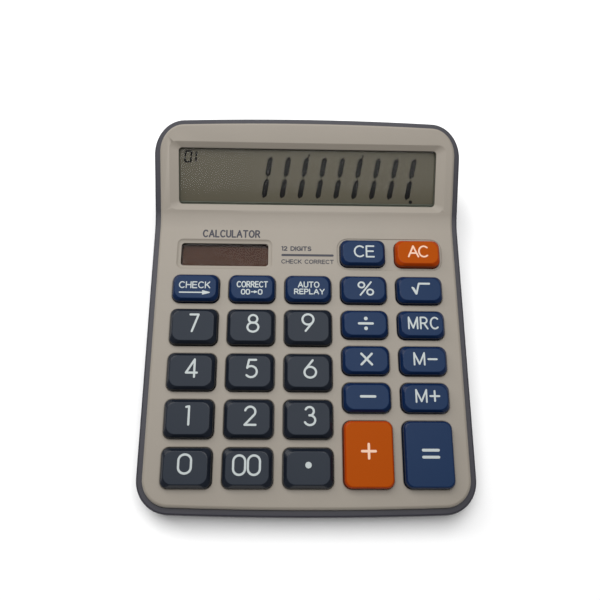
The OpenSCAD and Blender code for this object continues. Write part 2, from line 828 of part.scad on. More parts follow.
module battery_leads() {
  r = 0.6;
  top = cell_z + 4 + r;
  for (side = [-1, 1]) {
    board = keypad_point(board_rear_v - 6, board_bottom);
    color(side < 0 ? "#202022" : "#a02a24") wire([
      [side * (bay_half - contact_t / 2), cell_y, top],
      [side * (bay_half - contact_t / 2), cell_y - 0.5, top + 2],
      [side * 27, cell_y - 4, top + 3],
      [side * 24, bay_wall_y - 6, top + 1],
      [side * 20, board[0] + 3, board[1] - 5],
      [side * 20, board[0] + 0.5, board[1] - 3],
      [side * 20, board[0], board[1] - 0.1],
    ], r);
  }
}

// ---- Keys ----

// Key cap: a hollow block with sloping top edges, a flange and a centre plunger
module key_cap(k) {
  w = k[3][0];
  d = k[3][1];
  rise = k[3][2];
  r = k[3][3];
  slope_w = k[3][4];
  slope_h = k[3][5];
  low = rise - slope_h;
  color(k[4]) on_keypad() translate([col_x(k[1]), k[2], 0]) {
    difference() {
      union() {
        translate([0, 0, flange_bottom]) rounded_slab(w, d, low - flange_bottom, r);
        intersection() {
          translate([0, 0, flange_bottom]) rounded_slab(w, d, rise - flange_bottom, r);
          translate([0, 0, low]) leaning_block(w, d, w - 2 * slope_w, d - 2 * slope_w, slope_h);
        }
        translate([0, 0, flange_bottom])
          rounded_slab(w + 2 * flange_out, d + 2 * flange_out, flange_t, r + flange_out);
      }
      translate([0, 0, flange_bottom - over])
        rounded_slab(w - 2 * key_wall, d - 2 * key_wall, low - flange_bottom + over, r - key_wall + 0.4);
    }
    translate([0, 0, plunger_bottom]) cylinder(r = plunger_r, h = low - plunger_bottom + 0.2);
  }
}

upper_case();
lower_case();
battery_door();
display_window();
window_tape();
lcd_panel();
lcd_reflector();
lcd_holder();
lcd_ribbon();
lcd_screws();
solar_window();
solar_cell();
solar_pad();
solar_leads();
main_board();
controller_chip();
board_parts();
board_screws();
key_mat();
key_domes();
battery_cell();
battery_spring();
battery_plates();
battery_leads();
case_screws();
rubber_feet();
for (k = KEYS) key_cap(k);
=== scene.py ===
"""Looks of the desk calculator: shells with fine edges, key caps with their legends, the display,
the solar cell, the rubber domes and every finish.

Pieces are modelled in millimetres, either in the case's own frame or flat on one of the two
faces as (across, up the slope, height), and settle() brings each one into the shared frame.
"""

import json
import math
from contextlib import contextmanager

import bmesh
import bpy
from mathutils import Matrix, Vector

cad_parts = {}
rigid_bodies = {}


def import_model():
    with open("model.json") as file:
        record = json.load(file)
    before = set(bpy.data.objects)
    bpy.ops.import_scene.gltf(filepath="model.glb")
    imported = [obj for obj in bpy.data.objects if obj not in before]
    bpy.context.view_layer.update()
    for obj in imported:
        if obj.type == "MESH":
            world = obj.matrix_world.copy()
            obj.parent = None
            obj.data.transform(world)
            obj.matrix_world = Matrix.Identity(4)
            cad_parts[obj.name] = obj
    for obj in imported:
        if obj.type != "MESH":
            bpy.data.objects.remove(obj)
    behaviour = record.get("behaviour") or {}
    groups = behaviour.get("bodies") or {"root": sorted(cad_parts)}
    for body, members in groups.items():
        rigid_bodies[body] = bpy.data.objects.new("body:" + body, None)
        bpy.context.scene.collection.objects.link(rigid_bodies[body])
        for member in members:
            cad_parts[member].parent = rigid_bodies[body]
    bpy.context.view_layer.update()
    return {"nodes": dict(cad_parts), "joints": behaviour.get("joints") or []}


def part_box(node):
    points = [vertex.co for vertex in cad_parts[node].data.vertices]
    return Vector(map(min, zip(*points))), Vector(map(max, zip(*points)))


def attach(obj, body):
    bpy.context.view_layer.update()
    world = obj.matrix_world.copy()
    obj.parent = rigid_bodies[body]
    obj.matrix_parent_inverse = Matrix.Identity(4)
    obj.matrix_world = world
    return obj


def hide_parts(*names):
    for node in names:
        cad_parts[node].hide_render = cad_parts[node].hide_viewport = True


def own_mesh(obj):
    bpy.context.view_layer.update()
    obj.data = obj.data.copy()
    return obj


bpy.ops.object.select_all(action="SELECT")
bpy.ops.object.delete()
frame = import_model()
nodes = frame["nodes"]

MM = 0.001

# ---- Sizes, in millimetres ----

WALL = 2.2
BEND_R = 20
PARTING_DEPTH = 2.5
SKIRT_DEPTH = 6
LOWER_WALL = 2.85
FLOOR_T = 2.2
BASE_R = 3
CORNER_R = 15
EDGE_BOW = 1
TOP_EDGE_R = 1.5
RIM_EDGE_R = 0.9
KEY_RISE = 3.9
KEY_GAP = 0.35
KEY_WALL = 1.5
FLANGE_OUT = 0.9
FLANGE_T = 1
PLUNGER_R = 2.4
LCD_DEPTH = 3.8
FRAME_SIDE = 4.2
FRAME_END = 2.7
FRAME_DEPTH = 1.4
SOLAR_STEP = 1.9
SOLAR_DEPTH = 0.9
DOME_FOOT_R = 5.2
DOME_HEAD_R = 2.8
DOME_WALL = 0.6
WELL_R = 2.9
WELL_UNDER_TIP = 4.7
POST_UNDER_TIP = 4.6
PANEL_MARGIN = 1.1
DISPLAY_LIP = 2
SOLAR_LIP = 1.5
DOOR_GAP = 0.25
DOOR_H = 9
LABEL_W = 70.4
LABEL_L = 40.4
LABEL_Y = -22


def mm_box(node):
    """Lowest and highest corner of a node, in millimetres."""
    lo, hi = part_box(node)
    return lo / MM, hi / MM


def corners(points):
    """Lowest and highest corner of a set of points."""
    return [Vector([pick(p[i] for p in points) for i in range(3)]) for pick in (min, max)]


def middle(lo, hi):
    """Middle in plan between two corners."""
    return (lo.x + hi.x) / 2, (lo.y + hi.y) / 2


# ---- The two faces ----


class Face:
    """A sloping face of the case: its tilt, and the point where its own y starts."""

    def __init__(self, tilt, y, z):
        self.tilt = tilt
        self.y = y
        self.z = z
        self.matrix = Matrix.Translation((0, y, z)) @ Matrix.Rotation(tilt, 4, "X")
        self.normal = Vector((0, -math.sin(tilt), math.cos(tilt)))

    def height(self, y, depth=0):
        """Height over the floor of the surface a depth below this face."""
        return self.z + (y - self.y) * math.tan(self.tilt) - depth / math.cos(self.tilt)

    def box(self, node):
        """Lowest and highest corner of a node, measured along this face."""
        back = self.matrix.inverted()
        return corners([back @ (v.co / MM) for v in nodes[node].data.vertices])


key_joint = next(j for j in frame["joints"] if j["name"] == "press_5")


def keypad_face():
    """The keypad's slope comes from the way its keys travel, its height from a key's top."""
    axis = key_joint["axis"]
    tilt = math.atan2(axis[1], -axis[2])
    front = mm_box("upper_case")[0].y
    key_top = Face(tilt, front, 0).box("key_5")[1].z
    return Face(tilt, front, (key_top - KEY_RISE) / math.cos(tilt))


def display_face(keypad):
    """The display's slope comes from its panel, and it starts where it meets the keypad."""
    panel = nodes["lcd_panel"].data
    top = max((f for f in panel.polygons if f.normal.z > 0), key=lambda f: f.area)
    tilt = math.atan2(-top.normal.y, top.normal.z)
    lift = Vector((0, -math.sin(tilt), math.cos(tilt))) * LCD_DEPTH
    on_face = top.center / MM + lift
    drop = on_face.z - keypad.height(on_face.y)
    y = on_face.y - drop / (math.tan(tilt) - math.tan(keypad.tilt))
    return Face(tilt, y, keypad.height(y))


keypad = keypad_face()
display = display_face(keypad)
case_lo, case_hi = mm_box("lower_case")
CASE_HALF_W = case_hi.x
CASE_HALF_L = case_hi.y
RIM_OUT = keypad.y - case_lo.y
BASE_Z = case_lo.z
FLANGE_TOP = -WALL - 0.1
FLANGE_BOTTOM = FLANGE_TOP - FLANGE_T

# ---- Working on meshes ----


def fresh():
    """Object mode with nothing selected."""
    if bpy.context.object and bpy.context.object.mode != "OBJECT":
        bpy.ops.object.mode_set(mode="OBJECT")
    bpy.ops.object.select_all(action="DESELECT")


def take(piece):
    """Makes a piece the only one selected."""
    fresh()
    piece.select_set(True)
    bpy.context.view_layer.objects.active = piece


@contextmanager
def editing(piece):
    """Edit mode on a piece, with everything selected."""
    take(piece)
    bpy.ops.object.mode_set(mode="EDIT")
    bpy.ops.mesh.select_all(action="SELECT")
    yield piece
    bpy.ops.object.mode_set(mode="OBJECT")


def choose(kind, test):
    """Selects the VERT, EDGE or FACE items of the mesh being edited that pass a test."""
    bpy.ops.mesh.select_mode(type=kind)
    bpy.ops.mesh.select_all(action="DESELECT")
    mesh = bmesh.from_edit_mesh(bpy.context.object.data)
    items = {"VERT": mesh.verts, "EDGE": mesh.edges, "FACE": mesh.faces}[kind]
    for item in items:
        if test(item):
            item.select_set(True)
    mesh.select_flush_mode()
    bmesh.update_edit_mesh(bpy.context.object.data)


def move_points(rule, only_chosen=False):
    """Moves the vertices of the mesh being edited to where a rule says."""
    mesh = bmesh.from_edit_mesh(bpy.context.object.data)
    for v in mesh.verts:
        if v.select or not only_chosen:
            v.co = rule(v.co.copy())
    bmesh.update_edit_mesh(bpy.context.object.data)


def ends(edge):
    """The two end points of an edge."""
    return edge.verts[0].co, edge.verts[1].co


def at_height(z, slack=0.01):
    """Test for edges that lie at a height."""
    return lambda e: all(abs(p.z - z) < slack for p in ends(e))


def faces_up(f):
    """Test for faces that look up."""
    return f.normal.z > 0.5


def faces_down(f):
    """Test for faces that look down."""
    return f.normal.z < -0.5


def apply_modifier(piece, kind, **settings):
    """Adds a modifier and applies it at once."""
    take(piece)
    modifier = piece.modifiers.new(kind.title(), kind)
    for name, value in settings.items():
        setattr(modifier, name, value)
    bpy.ops.object.modifier_apply(modifier=modifier.name)


def cut(piece, tool, operation="DIFFERENCE"):
    """Cuts a piece with a tool, joins the tool on or keeps what they share, and removes the tool."""
    apply_modifier(piece, "BOOLEAN", object=tool, operation=operation, solver="MANIFOLD")
    bpy.data.objects.remove(tool)


def joined(parts, name):
    """Several objects made one, without cutting them."""
    fresh()
    for part in parts:
        part.select_set(True)
    bpy.context.view_layer.objects.active = parts[0]
    if len(parts) > 1:
        bpy.ops.object.join()
    whole = bpy.context.object
    whole.name = name
    return whole


def copied(piece, matrix):
    """A copy with its own mesh, put in its place by a matrix."""
    twin = bpy.data.objects.new("copy", piece.data.copy())
    twin.data.transform(matrix)
    bpy.context.scene.collection.objects.link(twin)
    return twin


def place(x, y):
    """Matrix that moves a shape in plan."""
    return Matrix.Translation((x, y, 0))


def outward(piece, merge=0.0005):
    """Merges doubles and turns all faces outwards."""
    with editing(piece):
        bpy.ops.mesh.remove_doubles(threshold=merge)
        bpy.ops.mesh.normals_make_consistent(inside=False)


def smooth(piece, angle):
    """Smooth shading except over sharp edges, with flat faces kept flat beside their fillets."""
    take(piece)
    bpy.ops.object.shade_smooth_by_angle(angle=math.radians(angle))
    apply_modifier(piece, "WEIGHTED_NORMAL", keep_sharp=True)


def settle(piece, name, body, finishes, face=None, replaces=()):
    """Brings a finished piece into the shared frame in metres, with its finish and its body."""
    place_in_frame = face.matrix if face else Matrix.Identity(4)
    piece.data.transform(Matrix.Diagonal((MM, MM, MM, 1)) @ place_in_frame)
    piece.name = name
    piece.data.name = name
    piece.data.materials.clear()
    for finish in finishes:
        piece.data.materials.append(finish)
    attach(piece, body)
    if replaces:
        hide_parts(*replaces)
    return piece


# ---- Shapes used by several pieces ----


def round_corner_plane(w, d, r, z, steps=6):
    """Flat face with round corners, centred in plan."""
    fresh()
    bpy.ops.mesh.primitive_plane_add(size=1)
    plane = bpy.context.object
    with editing(plane):
        bpy.ops.transform.resize(value=(w, d, 1))
        bpy.ops.transform.translate(value=(0, 0, z))
        bpy.ops.mesh.bevel(offset=r, affect="VERTICES", segments=steps, profile=0.5)
    return plane


def lofted(rings, steps=6):
    """Closed solid through level rounded rectangles, each (width, depth, corner radius, height)."""
    w, d, r, z = rings[0]
    solid = round_corner_plane(w, d, r, z, steps)
    with editing(solid):
        bpy.ops.mesh.select_mode(type="FACE")
        bpy.ops.mesh.select_all(action="SELECT")
        for w1, d1, r1, z1 in rings[1:]:
            bpy.ops.mesh.extrude_region_move()
            old = (w / 2 - r, d / 2 - r, r)
            new = (w1 / 2 - r1, d1 / 2 - r1, r1)

            def spread(p):
                out = []
                for i in (0, 1):
                    side = math.copysign(1, p[i])
                    out.append(side * (new[i] + (abs(p[i]) - old[i]) / old[2] * new[2]))
                return Vector((*out, z1))

            move_points(spread, only_chosen=True)
            w, d, r, z = w1, d1, r1, z1
    outward(solid)
    return solid


def fillet_rings(w, d, r, z, radius, top, steps=4):
    """Rings of a cutter whose opening ends in a round edge at height z, and runs on to top."""
    rings = []
    for i in range(steps + 1):
        turn = math.radians(90 * i / steps)
        out = radius * (1 - math.cos(turn))
        rings.append((w + 2 * out, d + 2 * out, r + out, z - radius * (1 - math.sin(turn))))
    w1, d1, r1, _ = rings[-1]
    return rings + [(w1, d1, r1, top)]


def turned(profile, steps=32):
    """Solid of revolution about z from (radius, height) points, which start and end at radius 0."""
    mesh = bpy.data.meshes.new("turned")
    points = [(r, 0, z) for r, z in profile]
    mesh.from_pydata(points, [(i, i + 1) for i in range(len(points) - 1)], [])
    solid = bpy.data.objects.new("turned", mesh)
    bpy.context.scene.collection.objects.link(solid)
    with editing(solid):
        bpy.ops.mesh.spin(steps=steps, angle=math.tau, center=(0, 0, 0), axis=(0, 0, 1))
    outward(solid, merge=0.002)
    return solid


def soft_plate(w, d, r, low, high, edge, steps):
    """Flat plate with round corners and small bevels on its level edges."""
    plate = lofted([(w, d, r, low), (w, d, r, high)], steps)
    with editing(plate):
        choose("EDGE", lambda e: at_height(low)(e) or at_height(high)(e))
        bpy.ops.mesh.bevel(offset=edge, segments=2, profile=0.5)
    return plate


def islands(node):
    """Points of every separate solid of a node, in the case's frame, from front to rear."""
    twin = nodes[node].copy()
    twin.data = nodes[node].data.copy()
    twin.parent = None
    bpy.context.scene.collection.objects.link(twin)
    twin.data.transform(Matrix.Diagonal((1 / MM, 1 / MM, 1 / MM, 1)))
    with editing(twin):
        bpy.ops.mesh.remove_doubles(threshold=0.001)
    mesh = bmesh.new()
    mesh.from_mesh(twin.data)
    bpy.data.objects.remove(twin)
    left = set(mesh.verts)
    found = []
    while left:
        front = {left.pop()}
        group = set(front)
        while front:
            near = {e.other_vert(v) for v in front for e in v.link_edges}
            front = near - group
            group |= front
        left -= group
        found.append([v.co.copy() for v in group])
    mesh.free()
    return sorted(found, key=lambda points: [round(min(p[i] for p in points), 2) for i in (1, 0)])


# ---- Finishes ----


class Value:
    """A node's output, with operators that add Math nodes."""

    def __init__(self, finish, socket):
        self.finish = finish
        self.socket = socket

    def math(self, operation, *others):
        """A Math node on this value, followed by others if the operation takes them."""
        return self.finish.math(operation, self, *others)

    def __add__(self, other):
        return self.math("ADD", other)

    def __radd__(self, other):
        return self.math("ADD", other)

    def __sub__(self, other):
        return self.math("SUBTRACT", other)

    def __rsub__(self, other):
        return self.finish.math("SUBTRACT", other, self)

    def __mul__(self, other):
        return self.math("MULTIPLY", other)

    def __rmul__(self, other):
        return self.math("MULTIPLY", other)


class Finish:
    """A material made of nodes, with one surface shader."""

    def __init__(self, name):
        self.material = bpy.data.materials.new(name)
        self.material.use_nodes = True
        self.tree = self.material.node_tree
        self.surface = self.tree.nodes["Principled BSDF"]
        self.output = self.tree.nodes["Material Output"]

    def node(self, kind, settings=None, inputs=None, output=0):
        """Adds a node, makes its settings, then feeds its sockets with numbers, colours or links."""
        made = self.tree.nodes.new(kind)
        for name, value in (settings or {}).items():
            setattr(made, name, value)
        for key, value in (inputs or {}).items():
            self.feed(made.inputs[key], value)
        return Value(self, made.outputs[output])

    def feed(self, socket, value):
        """Links a value to a socket, or sets the socket to a number or a colour."""
        if isinstance(value, Value):
            self.tree.links.new(value.socket, socket)
        else:
            socket.default_value = value

    def math(self, operation, *values):
        """A Math node on numbers and values."""
        return self.node("ShaderNodeMath", {"operation": operation}, dict(enumerate(values)))

    def set(self, **values):
        """Sets or links the surface shader's sockets; an underscore stands for a space."""
        for name, value in values.items():
            self.feed(self.surface.inputs[name.replace("_", " ")], value)
        return self

    def where(self, axis=None):
        """Place on the piece, in metres, or one axis of it."""
        point = self.node("ShaderNodeTexCoord", output="Object")
        if axis is None:
            return point
        return self.node("ShaderNodeSeparateXYZ", None, {0: point}, axis)

    def noise(self, size, detail=2, roughness=0.5, stretch=None):
        """Noise whose grains are about a size in millimetres."""
        point = self.where()
        if stretch:
            scaling = {"operation": "MULTIPLY"}
            point = self.node("ShaderNodeVectorMath", scaling, {0: point, 1: stretch})
        inputs = {
            "Vector": point,
            "Scale": 1 / (size * MM),
            "Detail": detail,
            "Roughness": roughness,
        }
        return self.node("ShaderNodeTexNoise", None, inputs, "Fac")

    def blend(self, factor, first, second):
        """Mix of two colours."""
        inputs = {0: factor, 6: first, 7: second}
        return self.node("ShaderNodeMix", {"data_type": "RGBA"}, inputs, 2)

    def ramp(self, factor, low, high):
        """0 below low, 1 above high, straight between."""
        inputs = {"Value": factor, "From Min": low, "From Max": high}
        return self.node("ShaderNodeMapRange", {"clamp": True}, inputs)

    def bump(self, height, depth):
        """Bump from a height of 0 to 1 that stands for a depth in millimetres."""
        inputs = {"Height": height, "Distance": depth * MM, "Strength": 1.0}
        return self.node("ShaderNodeBump", None, inputs)


def tint(r, g, b):
    """Colour given as 0 to 255 display values, made linear."""
    parts = []
    for v in (r, g, b):
        v = v / 255
        parts.append(v / 12.92 if v <= 0.04045 else ((v + 0.055) / 1.055) ** 2.4)
    return (*parts, 1.0)


def shifted(colour, gain):
    """A colour made a little lighter or darker."""
    return (*[min(1.0, c * gain) for c in colour[:3]], 1.0)


def moulded(name, colour, roughness, depth=0.012, shine=0.5):
    """Moulded plastic: fine spark-eroded grain, soft patches of tone and gloss."""
    finish = Finish(name)
    cloud = finish.noise(22, 3)
    speck = finish.noise(0.35, 2, 0.6)
    tone = cloud * 0.75 + speck * 0.25
    rub = finish.noise(6, 4, 0.6, stretch=(1, 0.35, 1))
    finish.set(
        Base_Color=finish.blend(tone, shifted(colour, 0.96), shifted(colour, 1.04)),
        Roughness=rub * 0.06 + (roughness - 0.03),
        Normal=finish.bump(speck, depth),
        IOR=1.5,
        Specular_IOR_Level=shine,
    )
    return finish.material


def polished(name, colour, roughness=0.22, shine=0.5):
    """Polished plastic with faint flow marks and hairline scuffs."""
    finish = Finish(name)
    cloud = finish.noise(9, 2)
    scuff = finish.noise(1.1, 4, 0.7, stretch=(0.25, 1, 1))
    finish.set(
        Base_Color=finish.blend(cloud, shifted(colour, 0.95), shifted(colour, 1.05)),
        Roughness=scuff * 0.08 + roughness,
        Normal=finish.bump(scuff, 0.003),
        IOR=1.5,
        Specular_IOR_Level=shine,
    )
    return finish.material


def printed(name, colour, shine=0.3):
    """Printing ink with an uneven, slightly broken surface."""
    finish = Finish(name)
    ink = finish.noise(0.5, 3, 0.6)
    finish.set(
        Base_Color=finish.blend(ink, shifted(colour, 0.93), shifted(colour, 1.05)),
        Roughness=ink * 0.15 + 0.5,
        Normal=finish.bump(ink, 0.004),
        Specular_IOR_Level=shine,
    )
    return finish.material


def rubber(name, colour, roughness=0.7):
    """Matt rubber with a dusty bloom."""
    finish = Finish(name)
    dust = finish.noise(3.5, 5, 0.65)
    pore = finish.noise(0.25, 2, 0.6)
    bloom = finish.ramp(dust, 0.45, 0.75)
    finish.set(
        Base_Color=finish.blend(bloom, colour, shifted(colour, 1.7)),
        Roughness=bloom * 0.12 + roughness,
        Normal=finish.bump(pore, 0.02),
    )
    return finish.material


def metal(name, colour, roughness):
    """Plated or turned metal with fine lines and dull spots."""
    finish = Finish(name)
    lines = finish.noise(0.4, 3, 0.6, stretch=(1, 6, 1))
    spots = finish.noise(2.5, 4, 0.6)
    finish.set(
        Base_Color=finish.blend(spots, shifted(colour, 0.85), shifted(colour, 1.06)),
        Metallic=1.0,
        Roughness=lines * 0.14 + roughness,
        Normal=finish.bump(lines, 0.004),
    )
    return finish.material


def see_through(name, colour, gloss):
    """Clear or smoked plastic: lets light straight through, and mirrors more at a slant."""
    finish = Finish(name)
    film = finish.noise(14, 3)
    finish.set(
        Base_Color=finish.blend(film, tint(8, 8, 8), tint(14, 14, 14)),
        Roughness=film * 0.05 + 0.06,
        IOR=1.5,
        Specular_IOR_Level=1.0,
    )
    through = finish.node("ShaderNodeBsdfTransparent", None, {0: colour})
    facing = finish.node("ShaderNodeLayerWeight", None, {"Blend": 0.5}, 1)
    share = facing.math("POWER", 4) * 0.5 + gloss
    inputs = {0: share, 1: through, 2: Value(finish, finish.surface.outputs[0])}
    mixed = finish.node("ShaderNodeMixShader", None, inputs)
    finish.tree.links.new(mixed.socket, finish.output.inputs[0])
    return finish.material


def polariser():
    """The display's grey-green film, with a fine vertical grain and a slow drift of tone."""
    finish = Finish("polariser_film")
    drift = finish.noise(55, 2)
    grain = finish.noise(0.4, 2, 0.6, stretch=(1, 0.2, 1))
    tone = drift * 0.8 + grain * 0.2
    finish.set(
        Base_Color=finish.blend(tone, tint(83, 79, 68), tint(94, 91, 79)),
        Roughness=grain * 0.1 + 0.38,
        Normal=finish.bump(grain, 0.003),
        Specular_IOR_Level=0.25,
    )
    return finish.material


def solar_glass():
    """Brown amorphous cell under glass, split into strips by fine scribed lines."""
    finish = Finish("solar_cell_glass")
    lo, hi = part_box("solar_cell")
    strips = 4
    x = (finish.where(0) - lo.x) * (strips / (hi.x - lo.x))
    off_line = (x.math("FRACT") - 0.5).math("ABSOLUTE")
    line = finish.ramp(off_line, 0.485, 0.494)
    film = finish.noise(8, 3)
    brown = finish.blend(film, tint(48, 30, 23), tint(58, 38, 30))
    finish.set(
        Base_Color=finish.blend(line, brown, tint(52, 40, 36)),
        Roughness=film * 0.08 + 0.16,
        Normal=finish.bump(line, 0.01),
    )
    return finish.material


def circuit_green():
    """Solder mask over copper tracks and pads."""
    finish = Finish("circuit_board_green")
    cells = finish.node(
        "ShaderNodeTexVoronoi",
        {"distance": "MANHATTAN", "feature": "DISTANCE_TO_EDGE"},
        {"Vector": finish.where(), "Scale": 150.0},
        "Distance",
    )
    tracks = finish.ramp(cells, 0.08, 0.12)
    weave = finish.noise(0.5, 2)
    mask = finish.blend(weave, tint(28, 84, 46), tint(36, 98, 54))
    finish.set(
        Base_Color=finish.blend(tracks, tint(46, 122, 68), mask),
        Roughness=weave * 0.1 + 0.32,
        Normal=finish.bump(tracks, -0.03),
    )
    return finish.material


def striped(name, first, second, pitch, share, roughness=0.45):
    """Film or sleeve whose two colours take turns from left to right."""
    finish = Finish(name)
    along = (finish.where(0) * (1 / (pitch * MM))).math("FRACT")
    stripe = finish.ramp(along, share - 0.04, share + 0.04)
    rough = finish.noise(2, 3)
    finish.set(
        Base_Color=finish.blend(stripe, first, second),
        Roughness=rough * 0.12 + roughness,
        Normal=finish.bump(stripe, 0.02),
    )
    return finish.material


def foam(name, colour):
    """Open-cell foam."""
    finish = Finish(name)
    cells = finish.node("ShaderNodeTexVoronoi", None, {"Vector": finish.where(), "Scale": 2200.0})
    finish.set(
        Base_Color=finish.blend(cells, shifted(colour, 0.5), shifted(colour, 1.3)),
        Roughness=0.95,
        Normal=finish.bump(cells, 0.15),
    )
    return finish.material


PALE = tint(136, 129, 119)
DARK = tint(43, 42, 50)
KEY_DARK = tint(34, 40, 49)
KEY_BLUE = tint(13, 38, 70)
KEY_ORANGE = tint(150, 64, 4)
WHITE = tint(168, 175, 175)

case_pale = moulded("case_pale_plastic", PALE, 0.5, shine=0.3)
case_dark = moulded("case_dark_plastic", DARK, 0.42, shine=0.35)
dark_top = moulded("dark_key_satin", KEY_DARK, 0.46, depth=0.006, shine=0.12)
blue_top = moulded("blue_key_satin", KEY_BLUE, 0.46, depth=0.006, shine=0.12)
orange_top = moulded("orange_key_satin", KEY_ORANGE, 0.5, depth=0.006, shine=0.03)
# The key slopes are the same plastics as the tops, polished, in darker colours: painted shade on the sides
# of each key
shaded_dark_slope = polished("dark_key_polished", tint(20, 25, 34), shine=0.25)
shaded_blue_slope = polished("blue_key_polished", tint(8, 29, 61), shine=0.2)
shaded_orange_slope = polished("orange_key_polished", tint(146, 52, 3), shine=0.1)
legend_white = printed("white_legend", WHITE)
legend_cream = printed("cream_legend", tint(212, 176, 152))
case_ink = printed("dark_printing", tint(50, 50, 58))
segment_ink = printed("display_segment", tint(7, 7, 12), shine=0.1)
window_clear = see_through("clear_window", tint(246, 245, 242), 0.04)
window_smoked = see_through("smoked_window", tint(222, 204, 192), 0.08)
tape_black = foam("black_tape", tint(20, 20, 22))
polariser_film = polariser()
panel_glass = polished("panel_glass", tint(120, 128, 120), 0.08)
reflector_film = metal("reflector_film", tint(150, 152, 146), 0.35)
holder_white = moulded("holder_white_plastic", tint(217, 214, 207), 0.45)
ribbon_film = striped("ribbon_film", tint(196, 132, 62), tint(150, 92, 36), 1.2, 0.5)
solar_face = solar_glass()
black_foam = foam("black_foam", tint(40, 40, 42))
sleeve_red = rubber("red_wire_sleeve", tint(150, 38, 32), 0.45)
board_green = circuit_green()
chip_black = moulded("chip_epoxy", tint(20, 20, 22), 0.3)
part_brown = polished("board_part", tint(104, 90, 62), 0.35)
screw_steel = metal("screw_steel", tint(178, 180, 184), 0.28)
contact_plated = metal("contact_plating", tint(196, 198, 200), 0.24)
mat_black = rubber("mat_rubber", tint(36, 37, 40))
dome_grey = rubber("dome_rubber", tint(92, 94, 98), 0.55)
cell_wrap = striped("cell_sleeve", tint(38, 96, 150), tint(196, 204, 208), 60, 0.82, 0.22)
foot_black = rubber("foot_rubber", tint(34, 34, 38), 0.75)

# ---- Case shells ----


def case_block(inset, depth, low, top_edge=0, base_edge=0):
    """Closed block with the case's plan, a distance in from its rim, up to a depth below its faces."""
    half_w = CASE_HALF_W - inset
    half_l = CASE_HALF_L - inset - EDGE_BOW
    r = CORNER_R - inset
    straight = half_w - r
    tall = 100
    block = round_corner_plane(2 * half_w, 2 * half_l, r, low, steps=14)

    def runs_across(e):
        a, b = ends(e)
        return abs(a.y - b.y) < 0.001 and abs(a.x - b.x) > half_w

    def bowed(p):
        if abs(abs(p.y) - half_l) < 0.001 and abs(p.x) < straight:
            p.y += math.copysign(EDGE_BOW * (1 - (p.x / straight) ** 2), p.y)
        return p

    def surface(p):
        if p.z > tall / 2:
            p.z = max(keypad.height(p.y, depth), display.height(p.y, depth))
        return p

    half_turn = (display.tilt - keypad.tilt) / 2
    lean = (display.tilt + keypad.tilt) / 2
    bend_y = display.y + depth * math.sin(lean) / math.cos(half_turn)
    with editing(block):
        choose("EDGE", runs_across)
        bpy.ops.mesh.subdivide(number_cuts=11)
        move_points(bowed)
        bpy.ops.mesh.select_mode(type="FACE")
        bpy.ops.mesh.select_all(action="SELECT")
        bpy.ops.mesh.extrude_region_move(TRANSFORM_OT_translate={"value": (0, 0, tall - low)})
        bpy.ops.mesh.select_all(action="SELECT")
        bpy.ops.mesh.normals_make_consistent(inside=False)
        choose("FACE", faces_up)
        bpy.ops.mesh.bisect(plane_co=(0, bend_y, 0), plane_no=(0, 1, 0))
        move_points(surface)
        choose("EDGE", lambda e: all(abs(p.y - bend_y) < 0.001 for p in ends(e)))
        spread = (BEND_R + depth) * math.tan(half_turn)
        bpy.ops.mesh.bevel(offset=spread, segments=10, profile=0.5, clamp_overlap=False)
        if top_edge:
            choose("FACE", faces_up)
            bpy.ops.mesh.region_to_loop()
            bpy.ops.mesh.bevel(offset=top_edge, segments=4, profile=0.5, clamp_overlap=False)
        if base_edge:
            choose("FACE", faces_down)
            bpy.ops.mesh.region_to_loop()
            bpy.ops.mesh.bevel(offset=base_edge, segments=5, profile=0.5, clamp_overlap=False)
    return block


def rod(x, y, low, high, r, steps=24):
    """Upright round rod."""
    post = turned([(0, low), (r, low), (r, high), (0, high)], steps)
    post.data.transform(place(x, y))
    return post


KEY_NAMES = sorted(n for n in nodes if n.startswith("key_") and n not in ("key_mat", "key_domes"))


def key_place(name):
    """Middle of a key on the keypad face, its cap's width and depth, and how high its top stands."""
    lo, hi = keypad.box(name)
    size = hi - lo
    return *middle(lo, hi), size.x - 2 * FLANGE_OUT, size.y - 2 * FLANGE_OUT, hi.z


class Kind:
    """One of the three key shapes: corner radius, width and height of its slopes, and its top's radius."""

    def __init__(self, r, slope_w, slope_h, top_r):
        self.r = r
        self.slope_w = slope_w
        self.slope_h = slope_h
        self.top_r = top_r


NUMBER = Kind(2.8, 1.4, 1.7, 3.9)
SMALL = Kind(3.3, 1.1, 1.5, 3.9)
TALL = Kind(3.3, 0.7, 0.9, 3.1)
TALL_FROM = 25
OPENING_EDGE_R = 0.55


def kind_of(name):
    """A key's kind, told by the depth of its cap and the height of its top."""
    _, _, _, d, rise = key_place(name)
    if d > TALL_FROM:
        return TALL
    return NUMBER if rise > KEY_RISE - 0.1 else SMALL


def openings_in_keypad():
    """One cutter for all key openings, with round upper edges."""
    made = {}
    cutters = []
    for name in KEY_NAMES:
        x, v, w, d, _ = key_place(name)
        kind = kind_of(name)
        if kind not in made:
            opening = (w + 2 * KEY_GAP, d + 2 * KEY_GAP, kind.r + KEY_GAP)
            made[kind] = lofted([(*opening, -WALL - 1), *fillet_rings(*opening, 0, OPENING_EDGE_R, 2)])
        cutters.append(copied(made[kind], keypad.matrix @ place(x, v)))
    for master in made.values():
        bpy.data.objects.remove(master)
    return joined(cutters, "key_openings")


def face_cutter(face, x, v, rings):
    """Cutter built from rings, put in its place on a face."""
    cutter = lofted(rings)
    cutter.data.transform(face.matrix @ place(x, v))
    return cutter


